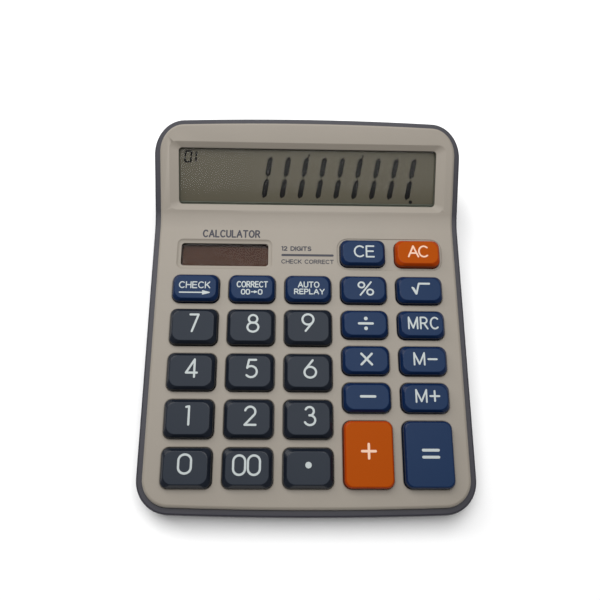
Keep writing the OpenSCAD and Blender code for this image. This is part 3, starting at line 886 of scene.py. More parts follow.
def frame_rings(w, d, side, end, depth, r):
    """Rings of an opening with a sloping frame round it, soft at its inner and outer edge."""
    outer_w, outer_d = w + 2 * side, d + 2 * end
    return [
        (w, d, r, -WALL - 1),
        (w, d, r, -depth - 0.15),
        (w + 0.1, d + 0.1, r, -depth - 0.03),
        (w + 0.4, d + 0.3, r + 0.1, -depth + 0.03),
        (outer_w - 0.9, outer_d - 0.7, r + 1.2, -0.245),
        (outer_w - 0.1, outer_d - 0.1, r + 1.5, -0.06),
        (outer_w + 0.5, outer_d + 0.5, r + 1.8, 0),
        (outer_w + 0.9, outer_d + 0.9, r + 2.0, 0.06),
        (outer_w + 0.9, outer_d + 0.9, r + 2.0, 2),
    ]


def step_rings(w, d, step, depth, r, steps=5):
    """Rings of an opening with a soft hollow step round it."""
    rings = [(w, d, r, -WALL - 1), (w, d, r, -depth)]
    for i in range(1, steps + 1):
        out = step * (0.25 + 0.75 * math.sin(math.radians(90 * i / steps)))
        rings.append((w + 2 * out, d + 2 * out, r + out * 0.7, -depth * (1 - i / steps) ** 1.4))
    w1, d1, r1, _ = rings[-1]
    return rings + [(w1, d1, r1, 2)]


def build_upper_case():
    """The pale shell: faces, rim, openings, and the posts that hang inside it."""
    shell = case_block(RIM_OUT, 0, -10, top_edge=TOP_EDGE_R)
    cut(shell, case_block(0, SKIRT_DEPTH, -20))
    cut(shell, case_block(RIM_OUT + WALL, WALL, -20))
    cut(shell, openings_in_keypad())

    lo = keypad.box("key_clear_entry")[0]
    hi = keypad.box("key_all_clear")[1]
    panel_w, panel_d = [hi[i] - lo[i] - 2 * FLANGE_OUT + 2 * PANEL_MARGIN for i in (0, 1)]
    panel = [
        (panel_w + out, panel_d + out, 5 + out / 2.4, z)
        for out, z in ((0, -0.4), (0.5, -0.36), (0.9, -0.06), (1.2, 0), (1.2, 1))
    ]
    cut(shell, face_cutter(keypad, *middle(lo, hi), panel))

    lo, hi = display.box("display_window")
    w, d = [hi[i] - lo[i] - 2 * DISPLAY_LIP for i in (0, 1)]
    rings = frame_rings(w, d, FRAME_SIDE, FRAME_END, FRAME_DEPTH, 1.8)
    cut(shell, face_cutter(display, *middle(lo, hi), rings))

    lo, hi = keypad.box("solar_window")
    w, d = [hi[i] - lo[i] - 2 * SOLAR_LIP for i in (0, 1)]
    rings = step_rings(w, d, SOLAR_STEP, SOLAR_DEPTH, 1.5)
    cut(shell, face_cutter(keypad, *middle(lo, hi), rings))

    for post in hanging_posts():
        cut(shell, post, "UNION")
    return shell


def hanging_posts():
    """Posts over the case, board and display screws, each with its pilot hole."""
    posts = []
    for points in islands("case_screws"):
        lo, hi = corners(points)
        x, y = middle(lo, hi)
        foot = hi.z - POST_UNDER_TIP
        post = rod(x, y, foot, keypad.height(y, WALL) + 0.4, 2.4)
        cut(post, rod(x, y, foot - 1, hi.z + 0.3, 1.3))
        posts.append(post)
    for node, face, low, r in (("board_screws", keypad, -6.9, 2.0), ("lcd_screws", display, -3.6, 2.6)):
        back = face.matrix.inverted()
        for points in islands(node):
            lo, hi = corners([back @ p for p in points])
            x, v = middle(lo, hi)
            post = rod(x, v, low, -WALL + 0.4, r)
            cut(post, rod(x, v, low - 1, hi.z + 0.25, 0.8))
            post.data.transform(face.matrix)
            posts.append(post)
    return posts


def build_lower_case():
    """The dark tray: rim, floor, battery bay, screw wells, foot pockets and a blank label recess."""
    tray = case_block(0, PARTING_DEPTH, BASE_Z, top_edge=RIM_EDGE_R, base_edge=BASE_R)
    cut(tray, case_block(LOWER_WALL, -20, BASE_Z + FLOOR_T))
    cut(tray, door_shape(DOOR_GAP))
    for points in islands("case_screws"):
        lo, hi = corners(points)
        x, y = middle(lo, hi)
        top = hi.z - WELL_UNDER_TIP
        cut(tray, rod(x, y, BASE_Z + 0.5, top, WELL_R + 0.8), "UNION")
        well = turned([(0, -1), (WELL_R + 0.5, -1), (WELL_R + 0.5, BASE_Z), (WELL_R, BASE_Z + 0.5),
                       (WELL_R, top - 2.8), (1.55, top - 2.8), (1.55, top + 1), (0, top + 1)])
        well.data.transform(place(x, y))
        cut(tray, well)
    lo, hi = mm_box("battery_plates")
    wall = 1.6
    wall_h = 11
    bay_lo = mm_box("battery_door")[0].y - DOOR_GAP - wall
    floor = BASE_Z + FLOOR_T - 0.3
    rear = door_upright_y() - 2 * DOOR_GAP
    for x in (lo.x - wall / 2, hi.x + wall / 2):
        cut(tray, block(x, (bay_lo + rear) / 2, wall, rear - bay_lo, floor, floor + wall_h), "UNION")
    cut(tray, block(0, bay_lo + wall / 2, hi.x - lo.x + wall, wall, floor, floor + wall_h), "UNION")
    for points in islands("rubber_feet"):
        lo, hi = corners(points)
        cut(tray, rod(*middle(lo, hi), -1, hi.z, (hi.x - lo.x) / 2 + 0.1))
    mouth = (LABEL_W + 0.8, LABEL_L + 0.8, 3.1)
    recess = lofted([(*mouth, -1), (*mouth, BASE_Z), (LABEL_W, LABEL_L, 2.7, BASE_Z + 0.35)])
    recess.data.transform(place(0, LABEL_Y))
    cut(tray, recess)
    return tray


def block(x, y, w, d, low, high):
    """Upright box."""
    fresh()
    bpy.ops.mesh.primitive_cube_add(size=1)
    made = bpy.context.object
    with editing(made):
        bpy.ops.transform.resize(value=(w, d, high - low))
        bpy.ops.transform.translate(value=(x, y, (low + high) / 2))
    return made


def door_half_w():
    """Half the width of the door's flat panel, which runs inside the battery plates."""
    return mm_box("battery_plates")[1].x - 1.8


def door_upright_y():
    """Where the door's upright end begins, a little inside the rear wall."""
    return CASE_HALF_L - EDGE_BOW - LOWER_WALL - 1


def door_shape(gap):
    """The door's outline with a gap round it, as a tool: a flat panel and an upright end."""
    lo, hi = mm_box("battery_door")
    floor = BASE_Z + FLOOR_T
    panel = block(0, lo.y + 20, 2 * (door_half_w() + gap), 40 + 2 * gap, -1, floor + 0.01)
    tall = block(0, door_upright_y() + 5, 2 * (hi.x + gap), 10 + 2 * gap, -1, DOOR_H + gap)
    cut(panel, tall, "UNION")
    return panel


def build_battery_door():
    """The sliding door: its panel, tongue and upright, with a grip of grooves that get shorter."""
    lo, _ = mm_box("battery_door")
    door = case_block(0, PARTING_DEPTH, BASE_Z, top_edge=RIM_EDGE_R, base_edge=BASE_R)
    cut(door, case_block(LOWER_WALL, -20, BASE_Z + FLOOR_T))
    cut(door, door_shape(0), "INTERSECT")
    panel_w = 2 * door_half_w()
    tongue_low = BASE_Z + FLOOR_T + DOOR_GAP
    length = CASE_HALF_L - EDGE_BOW - 1.5 - lo.y
    y = lo.y + length / 2
    cut(door, block(0, y, panel_w - 2, length, tongue_low - 0.75, tongue_low + 0.2), "UNION")
    cut(door, block(0, y, panel_w + 3, length, tongue_low, tongue_low + 1.2), "UNION")
    grooves = []
    for i in range(6):
        groove = (20 - 1.6 * i, 0.7, 0.34)
        grooves.append(lofted([(*groove, -1), (*groove, BASE_Z + 0.4)], 3))
        grooves[-1].data.transform(place(0, lo.y + 5 + 1.3 * i))
    cut(door, joined(grooves, "grip"))
    return door


def case_piece(piece, name, node, body, finish):
    """Smooths a case piece and settles it in place of its plain node."""
    smooth(piece, 38)
    settle(piece, name, body, [finish], replaces=[node])


case_piece(build_upper_case(), "upper_shell", "upper_case", "case", case_pale)
case_piece(build_lower_case(), "lower_tray", "lower_case", "case", case_dark)
case_piece(build_battery_door(), "sliding_door", "battery_door", "battery_door", case_dark)

# ---- Keys ----


def build_cap(kind, w, d, rise):
    """Key cap of one kind: hollow, with sloping edges, a flange below and a plunger in the middle."""
    low = rise - kind.slope_h
    inner = (w - 2 * KEY_WALL, d - 2 * KEY_WALL, kind.r - KEY_WALL + 0.4)
    flange = (w + 2 * FLANGE_OUT, d + 2 * FLANGE_OUT, kind.r + FLANGE_OUT)
    rings = [
        (*inner, low),
        (*inner, FLANGE_BOTTOM),
        (*flange, FLANGE_BOTTOM),
        (*flange, FLANGE_TOP),
        (w, d, kind.r, FLANGE_TOP),
        (w, d, kind.r, low),
        (w - 2 * kind.slope_w, d - 2 * kind.slope_w, kind.top_r, rise),
    ]
    cap = lofted(rings, 8)
    with editing(cap):
        choose("EDGE", lambda e: at_height(low)(e) and outer_ring(e, w, d))
        bpy.ops.mesh.bevel(offset=0.5, segments=3, profile=0.5, clamp_overlap=False)
        choose("EDGE", at_height(rise))
        bpy.ops.mesh.bevel(offset=0.38, segments=3, profile=0.5, clamp_overlap=False)
    bottom = min(keypad.box("key_5")[0].z, FLANGE_BOTTOM - 0.15)
    cut(cap, rod(0, 0, bottom, low + 0.2, PLUNGER_R), "UNION")
    smooth(cap, 50)
    return cap


def outer_ring(e, w, d):
    """True for edges on the outside of a cap, not on its inner roof."""
    return all(abs(p.x) > w / 2 - 1.2 or abs(p.y) > d / 2 - 1.2 for p in ends(e))


def paint_top(cap, rise):
    """Gives the flat top the first finish and all the rest the second, whose darker colour is painted shade
    on the sides.
    """
    for f in cap.data.polygons:
        f.material_index = 0 if f.normal.z > 0.97 and f.center.z > rise - 0.2 else 1


# Each key's top finish, then its slope finish: the same plastic, with painted shade in the slope's darker
# colour
FINISHES = {
    "key_dark": (dark_top, shaded_dark_slope),
    "key_blue": (blue_top, shaded_blue_slope),
    "key_orange": (orange_top, shaded_orange_slope),
}
ORANGE_KEYS = ("key_plus", "key_all_clear")
DARK_KEYS = [f"key_{n}" for n in ("0", "00", "point", *range(1, 10))]


def slot_of(name):
    """The looks slot of a key."""
    if name in ORANGE_KEYS:
        return "key_orange"
    return "key_dark" if name in DARK_KEYS else "key_blue"


def make_keys():
    """Every key's cap, copied from one master of its kind."""
    masters = {}
    for name in KEY_NAMES:
        x, v, w, d, rise = key_place(name)
        kind = kind_of(name)
        if kind not in masters:
            masters[kind] = build_cap(kind, w, d, rise)
            paint_top(masters[kind], rise)
        cap = copied(masters[kind], place(x, v))
        slots = [f.material_index for f in cap.data.polygons]
        settle(cap, name.replace("key_", "cap_"), name, FINISHES[slot_of(name)],
               face=keypad, replaces=[name])
        cap.data.polygons.foreach_set("material_index", slots)
    for master in masters.values():
        bpy.data.objects.remove(master)


make_keys()

# ---- Legends and printing ----

LAYER = 0.06


def arc(cx, cy, rx, ry, start, end, steps=12):
    """Points on part of an ellipse, from one angle to another."""
    turns = [math.radians(start + (end - start) * i / steps) for i in range(steps + 1)]
    return [(cx + rx * math.cos(a), cy + ry * math.sin(a)) for a in turns]


def oval(cx, cy, rx, ry):
    """Whole ellipse as two strokes."""
    return [arc(cx, cy, rx, ry, -5, 185), arc(cx, cy, rx, ry, 175, 365)]


def tall_oval(cx, half_w):
    """Upright loop with straight sides, as high as a capital."""
    top = arc(cx, 1 - half_w, half_w, half_w, 0, 180)
    bottom = arc(cx, half_w, half_w, half_w, 180, 360)
    return [top, bottom, [top[-1], bottom[0]], [bottom[-1], top[0]]]


def flipped(strokes, w):
    """Strokes turned half round in their box."""
    return [[(w - x, 1 - y) for x, y in stroke] for stroke in strokes]


SIX = [*oval(0.31, 0.31, 0.31, 0.31), [(0.05, 0.48), (0.44, 1)]]

# Every sign: its width, then its strokes, for a capital height of 1
SIGNS = {
    "0": (0.62, tall_oval(0.31, 0.31)),
    "1": (0.16, [[(0, 0.97), (0.16, 1)], [(0.16, 1), (0.16, 0)]]),
    "2": (0.57, [arc(0.28, 0.72, 0.27, 0.28, 165, -32) + [(0, 0)], [(0, 0), (0.57, 0)]]),
    "3": (0.57, [arc(0.27, 0.765, 0.225, 0.235, 155, -90), arc(0.285, 0.27, 0.285, 0.27, 95, -155)]),
    "4": (0.62, [[(0.47, 0), (0.47, 1)], [(0.47, 1), (0, 0.24)], [(0, 0.24), (0.62, 0.24)]]),
    "5": (0.59, [[(0.54, 1), (0.16, 1)], [(0.16, 1), (0.07, 0.53)], arc(0.28, 0.32, 0.31, 0.32, 133, -140)]),
    "6": (0.62, SIX),
    "7": (0.5, [[(0, 1), (0.5, 1)], [(0.5, 1), (0.13, 0)]]),
    "8": (0.6, [*oval(0.3, 0.765, 0.235, 0.235), *oval(0.3, 0.275, 0.3, 0.275)]),
    "9": (0.62, flipped(SIX, 0.62)),
    "A": (0.76, [[(0, 0), (0.38, 1)], [(0.38, 1), (0.76, 0)], [(0.14, 0.34), (0.62, 0.34)]]),
    "C": (0.7, [arc(0.39, 0.5, 0.39, 0.5, 48, 312)]),
    "D": (0.68, [[(0, 0), (0, 1)], [(0, 1), (0.26, 1), *arc(0.26, 0.5, 0.42, 0.5, 90, -90), (0, 0)]]),
    "E": (0.56, [[(0, 0), (0, 1)], [(0, 1), (0.55, 1)], [(0, 0.52), (0.5, 0.52)], [(0, 0), (0.56, 0)]]),
    "G": (0.74, [arc(0.39, 0.5, 0.39, 0.5, 48, 345), [(0.45, 0.46), (0.77, 0.46)],
                 [(0.77, 0.46), (0.77, 0.1)]]),
    "H": (0.64, [[(0, 0), (0, 1)], [(0.64, 0), (0.64, 1)], [(0, 0.52), (0.64, 0.52)]]),
    "I": (0.0, [[(0, 0), (0, 1)]]),
    "K": (0.62, [[(0, 0), (0, 1)], [(0.58, 1), (0, 0.36)], [(0.2, 0.58), (0.62, 0)]]),
    "L": (0.5, [[(0, 1), (0, 0)], [(0, 0), (0.5, 0)]]),
    "M": (0.8, [[(0, 0), (0, 1)], [(0, 1), (0.4, 0.06)], [(0.4, 0.06), (0.8, 1)], [(0.8, 1), (0.8, 0)]]),
    "N": (0.66, [[(0, 0), (0, 1)], [(0, 1), (0.66, 0)], [(0.66, 0), (0.66, 1)]]),
    "O": (0.78, oval(0.39, 0.5, 0.39, 0.5)),
    "P": (0.58, [[(0, 0), (0, 1)], [(0, 1), (0.3, 1), *arc(0.3, 0.74, 0.28, 0.26, 90, -90), (0, 0.48)]]),
    "R": (0.62, [[(0, 0), (0, 1)], [(0, 1), (0.3, 1), *arc(0.3, 0.74, 0.28, 0.26, 90, -90), (0, 0.48)],
                 [(0.3, 0.48), (0.62, 0)]]),
    "S": (0.58, [arc(0.29, 0.745, 0.26, 0.255, 35, 265), arc(0.29, 0.25, 0.29, 0.25, 90, -150)]),
    "T": (0.66, [[(0, 1), (0.66, 1)], [(0.33, 1), (0.33, 0)]]),
    "U": (0.64, [[(0, 1), (0, 0.32), *arc(0.32, 0.32, 0.32, 0.32, 180, 360), (0.64, 1)]]),
    "Y": (0.68, [[(0, 1), (0.34, 0.45)], [(0.34, 0.45), (0.68, 1)], [(0.34, 0.45), (0.34, 0)]]),
    " ": (0.3, []),
}


def lettering(words, left, low, right, high, stroke, gap=0.24):
    """Strokes of a line of signs, stretched to fill a box given by its outside edges."""
    inset = stroke / 2
    left, low, right, high = left + inset, low + inset, right - inset, high - inset
    total = sum(SIGNS[c][0] for c in words) + gap * (len(words) - 1)
    tall = high - low
    wide = (right - left) / total if total > 0.2 else tall
    x = left
    strokes = []
    for c in words:
        w, lines = SIGNS[c]
        strokes += [[(x + px * wide, low + py * tall) for px, py in line] for line in lines]
        x += (w + gap) * wide
    return [(line, stroke) for line in strokes]


def bar(x0, y0, x1, y1, stroke):
    """One straight stroke, between its outside ends."""
    along = Vector((x1 - x0, y1 - y0)).normalized() * stroke / 2
    return ([(x0 + along.x, y0 + along.y), (x1 - along.x, y1 - along.y)], stroke)


def spot(x, y, d):
    """Round dot."""
    return ([(x - 0.01, y), (x + 0.01, y)], d)


def ribbon(line, stroke):
    """Outline of a stroke of even width with round ends."""
    points = [Vector(p) for p in line]
    half = stroke / 2
    sides = ([], [])
    for i, p in enumerate(points):
        along = (points[min(i + 1, len(points) - 1)] - points[max(i - 1, 0)]).normalized()
        across = Vector((-along.y, along.x)) * half
        sides[0].append(p + across)
        sides[1].append(p - across)
    outline = []
    for side, end, before in ((sides[0], points[-1], points[-2]), (sides[1][::-1], points[0], points[1])):
        outline += side
        along = (end - before).normalized()
        heading = math.atan2(along.y, along.x)
        for i in range(1, 6):
            a = heading + math.radians(90 - 30 * i)
            outline.append(end + half * Vector((math.cos(a), math.sin(a))))
    return outline


def raised(outlines, low, high, name):
    """Flat layer made of outlines that may overlap, as one closed solid."""
    layer = None
    for outline in outlines:
        mesh = bpy.data.meshes.new(name)
        mesh.from_pydata([(p[0], p[1], low) for p in outline], [], [range(len(outline))])
        stroke = bpy.data.objects.new(name, mesh)
        bpy.context.scene.collection.objects.link(stroke)
        with editing(stroke):
            bpy.ops.mesh.extrude_region_move(TRANSFORM_OT_translate={"value": (0, 0, high - low)})
            bpy.ops.mesh.select_all(action="SELECT")
            bpy.ops.mesh.normals_make_consistent(inside=False)
        if layer:
            cut(layer, stroke, "UNION")
        else:
            layer = stroke
    return layer


def marks(strokes, low, name):
    """Printed layer made of strokes, just proud of the surface at a height."""
    return raised([ribbon(line, stroke) for line, stroke in strokes], low - 0.03, low + LAYER, name)


def arrow(x0, x1, y, stroke, head_l, head_w):
    """Arrow to the right: a shaft and a solid head drawn as a fan of strokes."""
    strokes = [bar(x0, y, x1 - head_l / 2, y, stroke)]
    for i in range(-2, 3):
        strokes.append(bar(x1 - head_l, y + head_w / 4 * i, x1, y, stroke * 0.7))
    return strokes


# Stroke widths of the legends, and how far all of them sit off the middle of their keys
DIGIT = 0.95
CAPITAL = 0.78
MEMORY = 0.76
SMALL_SIGN = 0.5
PRINT_SHIFT = -0.25

# Left and right side of every digit
DIGIT_SIDES = {
    "1": (-1.15, 1.05), "2": (-1.8, 3.95), "3": (-2.0, 3.75), "4": (-2.2, 3.65), "5": (-1.9, 4.0),
    "6": (-2.0, 4.2), "7": (-1.6, 3.1), "8": (-1.75, 4.25), "9": (-2.95, 3.15), "0": (-3.25, 3.15),
}


def sign_strokes(name):
    """The legend of a key, in millimetres from the middle of its top."""
    word = name.replace("key_", "")
    if word in DIGIT_SIDES:
        left, right = DIGIT_SIDES[word]
        lift = {"9": 0.6, "0": 0.4}.get(word, 0)
        return lettering(word, left, -3.2 + lift, right, 5.65 + lift, DIGIT)
    if word == "00":
        first = lettering("0", -6.2, -3.3, -0.1, 5.75, DIGIT)
        return first + lettering("0", 0.15, -3.3, 6.27, 5.75, DIGIT)
    return {
        "point": lambda: [spot(0.25, 1.3, 2.8)],
        "check": lambda: lettering("CHECK", -7.35, -0.75, 7.35, 2.65, SMALL_SIGN)
        + arrow(-7.2, 7.2, -2.75, 0.6, 3.6, 1.8),
        "correct": lambda: lettering("CORRECT", -6.9, -0.1, 7.8, 3.05, SMALL_SIGN)
        + lettering("00", -4.8, -3.6, -0.5, -0.85, SMALL_SIGN)
        + arrow(-0.2, 2.8, -2.2, 0.5, 1.5, 1.1)
        + lettering("0", 3.1, -3.6, 5.3, -0.85, SMALL_SIGN),
        "replay": lambda: lettering("AUTO", -4.65, 0.1, 5.55, 3.15, SMALL_SIGN)
        + lettering("REPLAY", -6.4, -3.2, 8.0, -0.4, SMALL_SIGN),
        "percent": lambda: [(line, CAPITAL) for line in oval(-1.1, 1.75, 1.45, 1.35)]
        + [(line, CAPITAL) for line in oval(2.95, -1.75, 1.45, 1.35)]
        + [bar(-1.9, -3.5, 3.7, 3.5, CAPITAL)],
        "divide": lambda: [bar(-3.25, 0, 4.2, 0, 1.1), spot(0.5, 2.35, 1.75), spot(0.5, -2.35, 1.75)],
        "multiply": lambda: [bar(-2.4, -2.6, 3.1, 3.1, 1.0), bar(-2.4, 3.1, 3.1, -2.6, 1.0)],
        "minus": lambda: [bar(-3.2, 0.3, 4.2, 0.3, 1.1)],
        "plus": lambda: [bar(-3.4, 1.28, 3.6, 1.28, 1.1), bar(0.1, -2.3, 0.1, 4.87, 1.1)],
        "root": lambda: [bar(-3.8, 0.9, -2.9, 0.3, 0.9), bar(-3.3, 0.8, -1.4, -2.7, 1.15),
                         bar(-1.7, -2.7, -0.25, 3.0, 0.85), bar(-0.6, 2.7, 5.1, 2.7, 0.95)],
        "memory_recall": lambda: lettering("MRC", -6.4, -2.6, 8.1, 3.5, MEMORY, gap=0.3),
        "memory_minus": lambda: lettering("M", -4.7, -2.55, 0.7, 3.65, MEMORY)
        + [bar(1.7, 0.4, 6.4, 0.4, 0.85)],
        "memory_plus": lambda: lettering("M", -4.7, -2.45, 0.7, 3.75, MEMORY)
        + [bar(1.6, 0.6, 6.5, 0.6, 0.85), bar(4.05, -2.0, 4.05, 3.3, 0.85)],
        "equals": lambda: [bar(-3.2, 1.8, 4.7, 1.8, 1.2), bar(-3.2, -1.15, 4.7, -1.15, 1.2)],
        "clear_entry": lambda: lettering("CE", -4.3, -2.9, 5.75, 3.3, CAPITAL, gap=0.2),
        "all_clear": lambda: lettering("AC", -4.8, -2.6, 5.35, 3.6, CAPITAL, gap=0.06),
    }[word]()


def make_legends():
    """The legend of every key, which moves with it."""
    for name in KEY_NAMES:
        x, v, _, _, rise = key_place(name)
        legend = marks(sign_strokes(name), rise, name)
        legend.data.transform(place(x + PRINT_SHIFT, v))
        ink = legend_cream if name in ORANGE_KEYS else legend_white
        settle(legend, name.replace("key_", "legend_"), name, [ink], face=keypad)


def make_printing():
    """Plain words beside the solar window: a title, and a stripe between two smaller lines."""
    title_x = middle(*keypad.box("solar_window"))[0] + 3
    title = lettering("CALCULATOR", title_x - 14, 125.5, title_x + 14, 129.6, 0.72, gap=0.3)
    left, right = -12.6, 12.8
    lines = lettering("12 DIGITS", left, 119.0, left + 14.6, 121.4, 0.5)
    lines += lettering("CHECK CORRECT", left, 112.4, right, 114.6, 0.4)
    lines += [bar(left, 116.8, right, 116.8, 1.1)]
    for name, strokes in (("case_title", title), ("case_label", lines)):
        label = marks(strokes, 0, name)
        settle(label, name, "case", [case_ink], face=keypad)


make_legends()
make_printing()

# ---- Display ----


def segment(x, low, high, half, lean, tip):
    """One upright display segment with slanted, pointed ends."""
    def at(dx, t):
        return (x + dx + lean * (t - low), t)

    return [at(-half, low + tip), at(-half * 0.2, low), at(half, low + tip * 0.8),
            at(half, high - tip), at(half * 0.2, high), at(-half, high - tip * 0.8)]


def make_segments():
    """Row of ones on the display, with a point, two separators and a small count at the left."""
    lean = 0.17
    last_x = 49.5
    pitch = 8.9
    outlines = []
    for x in (last_x - pitch * i for i in range(9)):
        outlines.append(segment(x, 11.5, 21.4, 1.32, lean, 1.5))
        outlines.append(segment(x + lean * 10.2, 21.7, 32.0, 1.32, lean, 1.5))
    outlines.append(arc(51.5, 10.6, 0.9, 0.9, 0, 345, 11))
    for x in (0.8, 27.3):
        outlines.append([(x - 0.5, 31.4), (x + 0.7, 33.1), (x - 0.75, 33.3)])
    low, mid, high = 28.7, 31.2, 33.8
    small_lean = 0.1
    for x in (-60.5, -57.6, -55.2):
        outlines.append(segment(x, low, mid - 0.1, 0.48, small_lean, 0.4))
        outlines.append(segment(x + 0.25, mid + 0.1, high, 0.48, small_lean, 0.4))
    for y in (low, high):
        outlines.append(ribbon([(x + small_lean * (y - low), y) for x in (-60.2, -57.9)], 0.8))
    layer = raised(outlines, -LCD_DEPTH - 0.02, -LCD_DEPTH + 0.03, "display_segments")
    settle(layer, "display_segments", "case", [segment_ink], face=display)


def make_panel():
    """Liquid crystal panel: two sheets of glass, the film on the front, and the seal between them."""
    lo, hi = display.box("lcd_panel")
    x, y = middle(lo, hi)
    w, d, thick = hi - lo
    top = hi.z
    ledge = 2.2
    for name, low, high, cut_off, finish in (
        ("panel_rear_glass", -thick, -thick * 0.55, 0, panel_glass),
        ("panel_seal", -thick * 0.55, -thick * 0.5, 1.2, chip_black),
        ("panel_front_glass", -thick * 0.5, -0.25, 0, panel_glass),
        ("panel_front_film", -0.25, 0, 0.5, polariser_film),
    ):
        back_off = 0 if name == "panel_rear_glass" else ledge
        sheet = soft_plate(w - 2 * cut_off, d - 2 * cut_off - back_off, 0.4, top + low, top + high, 0.05, 2)
        sheet.data.transform(place(x, y + back_off / 2))
        smooth(sheet, 30)
        settle(sheet, name, "case", [finish], face=display)
    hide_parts("lcd_panel")


def stepped_window(node, face, lip, r, name, finish):
    """Clear window with a round-edged face that stands in its opening, and a lip below."""
    lo, hi = face.box(node)
    full_w, full_d, _ = hi - lo
    seat = lo.z + 1.2
    gap = 0.2
    w, d = [full - 2 * lip - 2 * gap for full in (full_w, full_d)]
    rings = [
        (full_w, full_d, r, lo.z),
        (full_w, full_d, r, seat),
        (w, d, r - 0.3, seat),
        (w, d, r - 0.3, hi.z - 0.25),
        (w - 0.14, d - 0.14, r - 0.35, hi.z - 0.08),
        (w - 0.5, d - 0.5, r - 0.45, hi.z),
    ]
    window = lofted(rings, 5)
    window.data.transform(place(*middle(lo, hi)))
    smooth(window, 40)
    settle(window, name, "case", [finish], face=face, replaces=[node])


make_segments()
make_panel()
stepped_window("display_window", display, DISPLAY_LIP, 2, "clear_display_window", window_clear)
stepped_window("solar_window", keypad, SOLAR_LIP, 1.5, "smoked_solar_window", window_smoked)

# ---- Domes and feet ----


def make_domes():
    """One rubber dome under every key."""
    lo, hi = keypad.box("key_domes")
    foot, top = lo.z, hi.z
    inner_r = DOME_FOOT_R - DOME_WALL
    profile = [
        (0, top - DOME_WALL), (DOME_HEAD_R - 0.9, top - DOME_WALL),
        (DOME_HEAD_R - 0.6, top - DOME_WALL - 0.2), (inner_r - 0.3, foot + 0.25), (inner_r, foot),
        (DOME_FOOT_R, foot), (DOME_FOOT_R - 0.1, foot + 0.22), (DOME_HEAD_R + 0.25, top - 0.45),
        (DOME_HEAD_R, top - 0.1), (DOME_HEAD_R - 0.2, top), (1.3, top), (1.1, top - 0.12), (0, top - 0.12),
    ]
    master = turned(profile, 24)
    smooth(master, 50)
    travel = key_joint["range_m"][1] / MM
    keep = 1 - travel / (top - foot)
    for name in KEY_NAMES:
        x, v, *_ = key_place(name)
        dome = copied(master, place(x, v))
        settle(dome, name.replace("key_", "dome_"), "case", [dome_grey], face=keypad)
        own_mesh(dome)
        if name == KEY_NAMES[0]:
            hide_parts("key_domes")
    bpy.data.objects.remove(master)


def make_feet():
    """Round feet with a dished tread."""
    feet = []
    for points in islands("rubber_feet"):
        lo, hi = corners(points)
        r = (hi.x - lo.x) / 2
        profile = [(0, 0.25), (r - 2.2, 0.25), (r - 1.8, 0.0), (r - 0.8, 0.0), (r - 0.25, 0.16),
                   (r, 0.5), (r, hi.z), (0, hi.z)]
        foot = turned(profile, 40)
        foot.data.transform(place(*middle(lo, hi)))
        feet.append(foot)
    whole = joined(feet, "round_feet")
    smooth(whole, 50)
    settle(whole, "round_feet", "case", [foot_black], replaces=["rubber_feet"])


make_domes()
make_feet()

# ---- Finishes of the pieces that keep their shape ----

KEPT = {
    "window_tape": tape_black,
    "lcd_reflector": reflector_film,
    "lcd_holder": holder_white,
    "lcd_ribbon": ribbon_film,
    "lcd_screws": screw_steel,
    "solar_cell": solar_face,
    "solar_pad": black_foam,
    "solar_leads": sleeve_red,
    "main_board": board_green,
    "controller_chip": chip_black,
    "board_parts": part_brown,
    "board_screws": screw_steel,
    "key_mat": mat_black,
    "battery_cell": cell_wrap,
    "battery_spring": contact_plated,
    "battery_plates": contact_plated,
    "battery_leads": sleeve_red,
    "case_screws": screw_steel,
}


def dress_kept_pieces():
    """Gives every piece that keeps its shape its finish."""
    for name, finish in KEPT.items():
        slots = nodes[name].data.materials
        for i in range(len(slots)):
            slots[i] = finish
        if not slots:
            slots.append(finish)


dress_kept_pieces()

# ---- Camera, light and floor ----

# Place in millimetres in the keypad face's own frame, and turns in degrees
CAMERA_PLACE = (-10.8, 12.6, 272.3)
CAMERA_ROLL = -0.58
CAMERA_YAW = 1.47
CAMERA_PITCH = -16.67


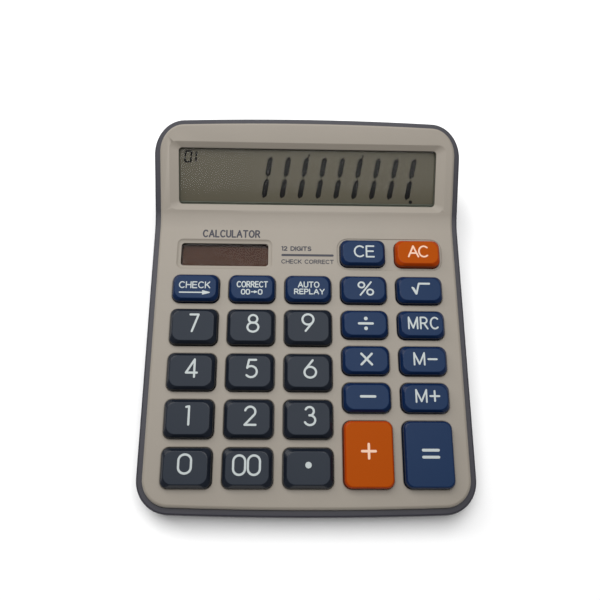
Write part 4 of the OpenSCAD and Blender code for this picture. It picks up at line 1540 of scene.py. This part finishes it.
def set_camera():
    """Camera above the keypad, given in the keypad face's own frame."""
    data = bpy.data.cameras.new("camera")
    data.lens = 36
    data.sensor_width = 36
    data.clip_start = 0.01
    camera = bpy.data.objects.new("camera", data)
    bpy.context.scene.collection.objects.link(camera)
    back = (
        Matrix.Rotation(math.radians(CAMERA_ROLL), 4, "Z")
        @ Matrix.Rotation(math.radians(CAMERA_YAW), 4, "Y")
        @ Matrix.Rotation(math.radians(CAMERA_PITCH), 4, "X")
    )
    stand = Matrix.Translation(CAMERA_PLACE) @ back.inverted()
    world = keypad.matrix @ stand
    camera.matrix_world = Matrix.Translation(world.translation * MM) @ world.to_3x3().to_4x4()
    bpy.context.scene.camera = camera


def area_light(name, place_at, aim, size, power):
    """Soft square lamp aimed at a point."""
    data = bpy.data.lights.new(name, "AREA")
    data.size = size
    data.energy = power
    lamp = bpy.data.objects.new(name, data)
    lamp.visible_camera = False
    bpy.context.scene.collection.objects.link(lamp)
    lamp.location = place_at
    lamp.rotation_euler = (Vector(aim) - Vector(place_at)).to_track_quat("-Z", "Y").to_euler()


def set_light():
    """A faint even sky, a lamp overhead and a larger one at the left rear."""
    world = bpy.data.worlds.new("studio")
    bpy.context.scene.world = world
    world.use_nodes = True
    sky = world.node_tree.nodes["Background"]
    sky.inputs["Color"].default_value = (1, 1, 1, 1)
    sky.inputs["Strength"].default_value = 0.2
    area_light("overhead", (0.0, 0.08, 0.46), (0, 0.02, 0), 0.45, 2.75)
    area_light("window", (-0.55, 0.5, 0.5), (0, 0, 0), 0.6, 3.5)
    bpy.context.scene.view_settings.view_transform = "Standard"


def set_floor():
    """White paper under the case."""
    fresh()
    bpy.ops.mesh.primitive_plane_add(size=6)
    floor = bpy.context.object
    floor.name = "floor"
    paper = Finish("floor_paper")
    grain = paper.noise(0.8, 3)
    paper.set(
        Base_Color=paper.blend(grain, (0.93, 0.93, 0.93, 1), (0.96, 0.96, 0.96, 1)),
        Roughness=0.9,
    )
    floor.data.materials.append(paper.material)


set_camera()
set_light()
set_floor()
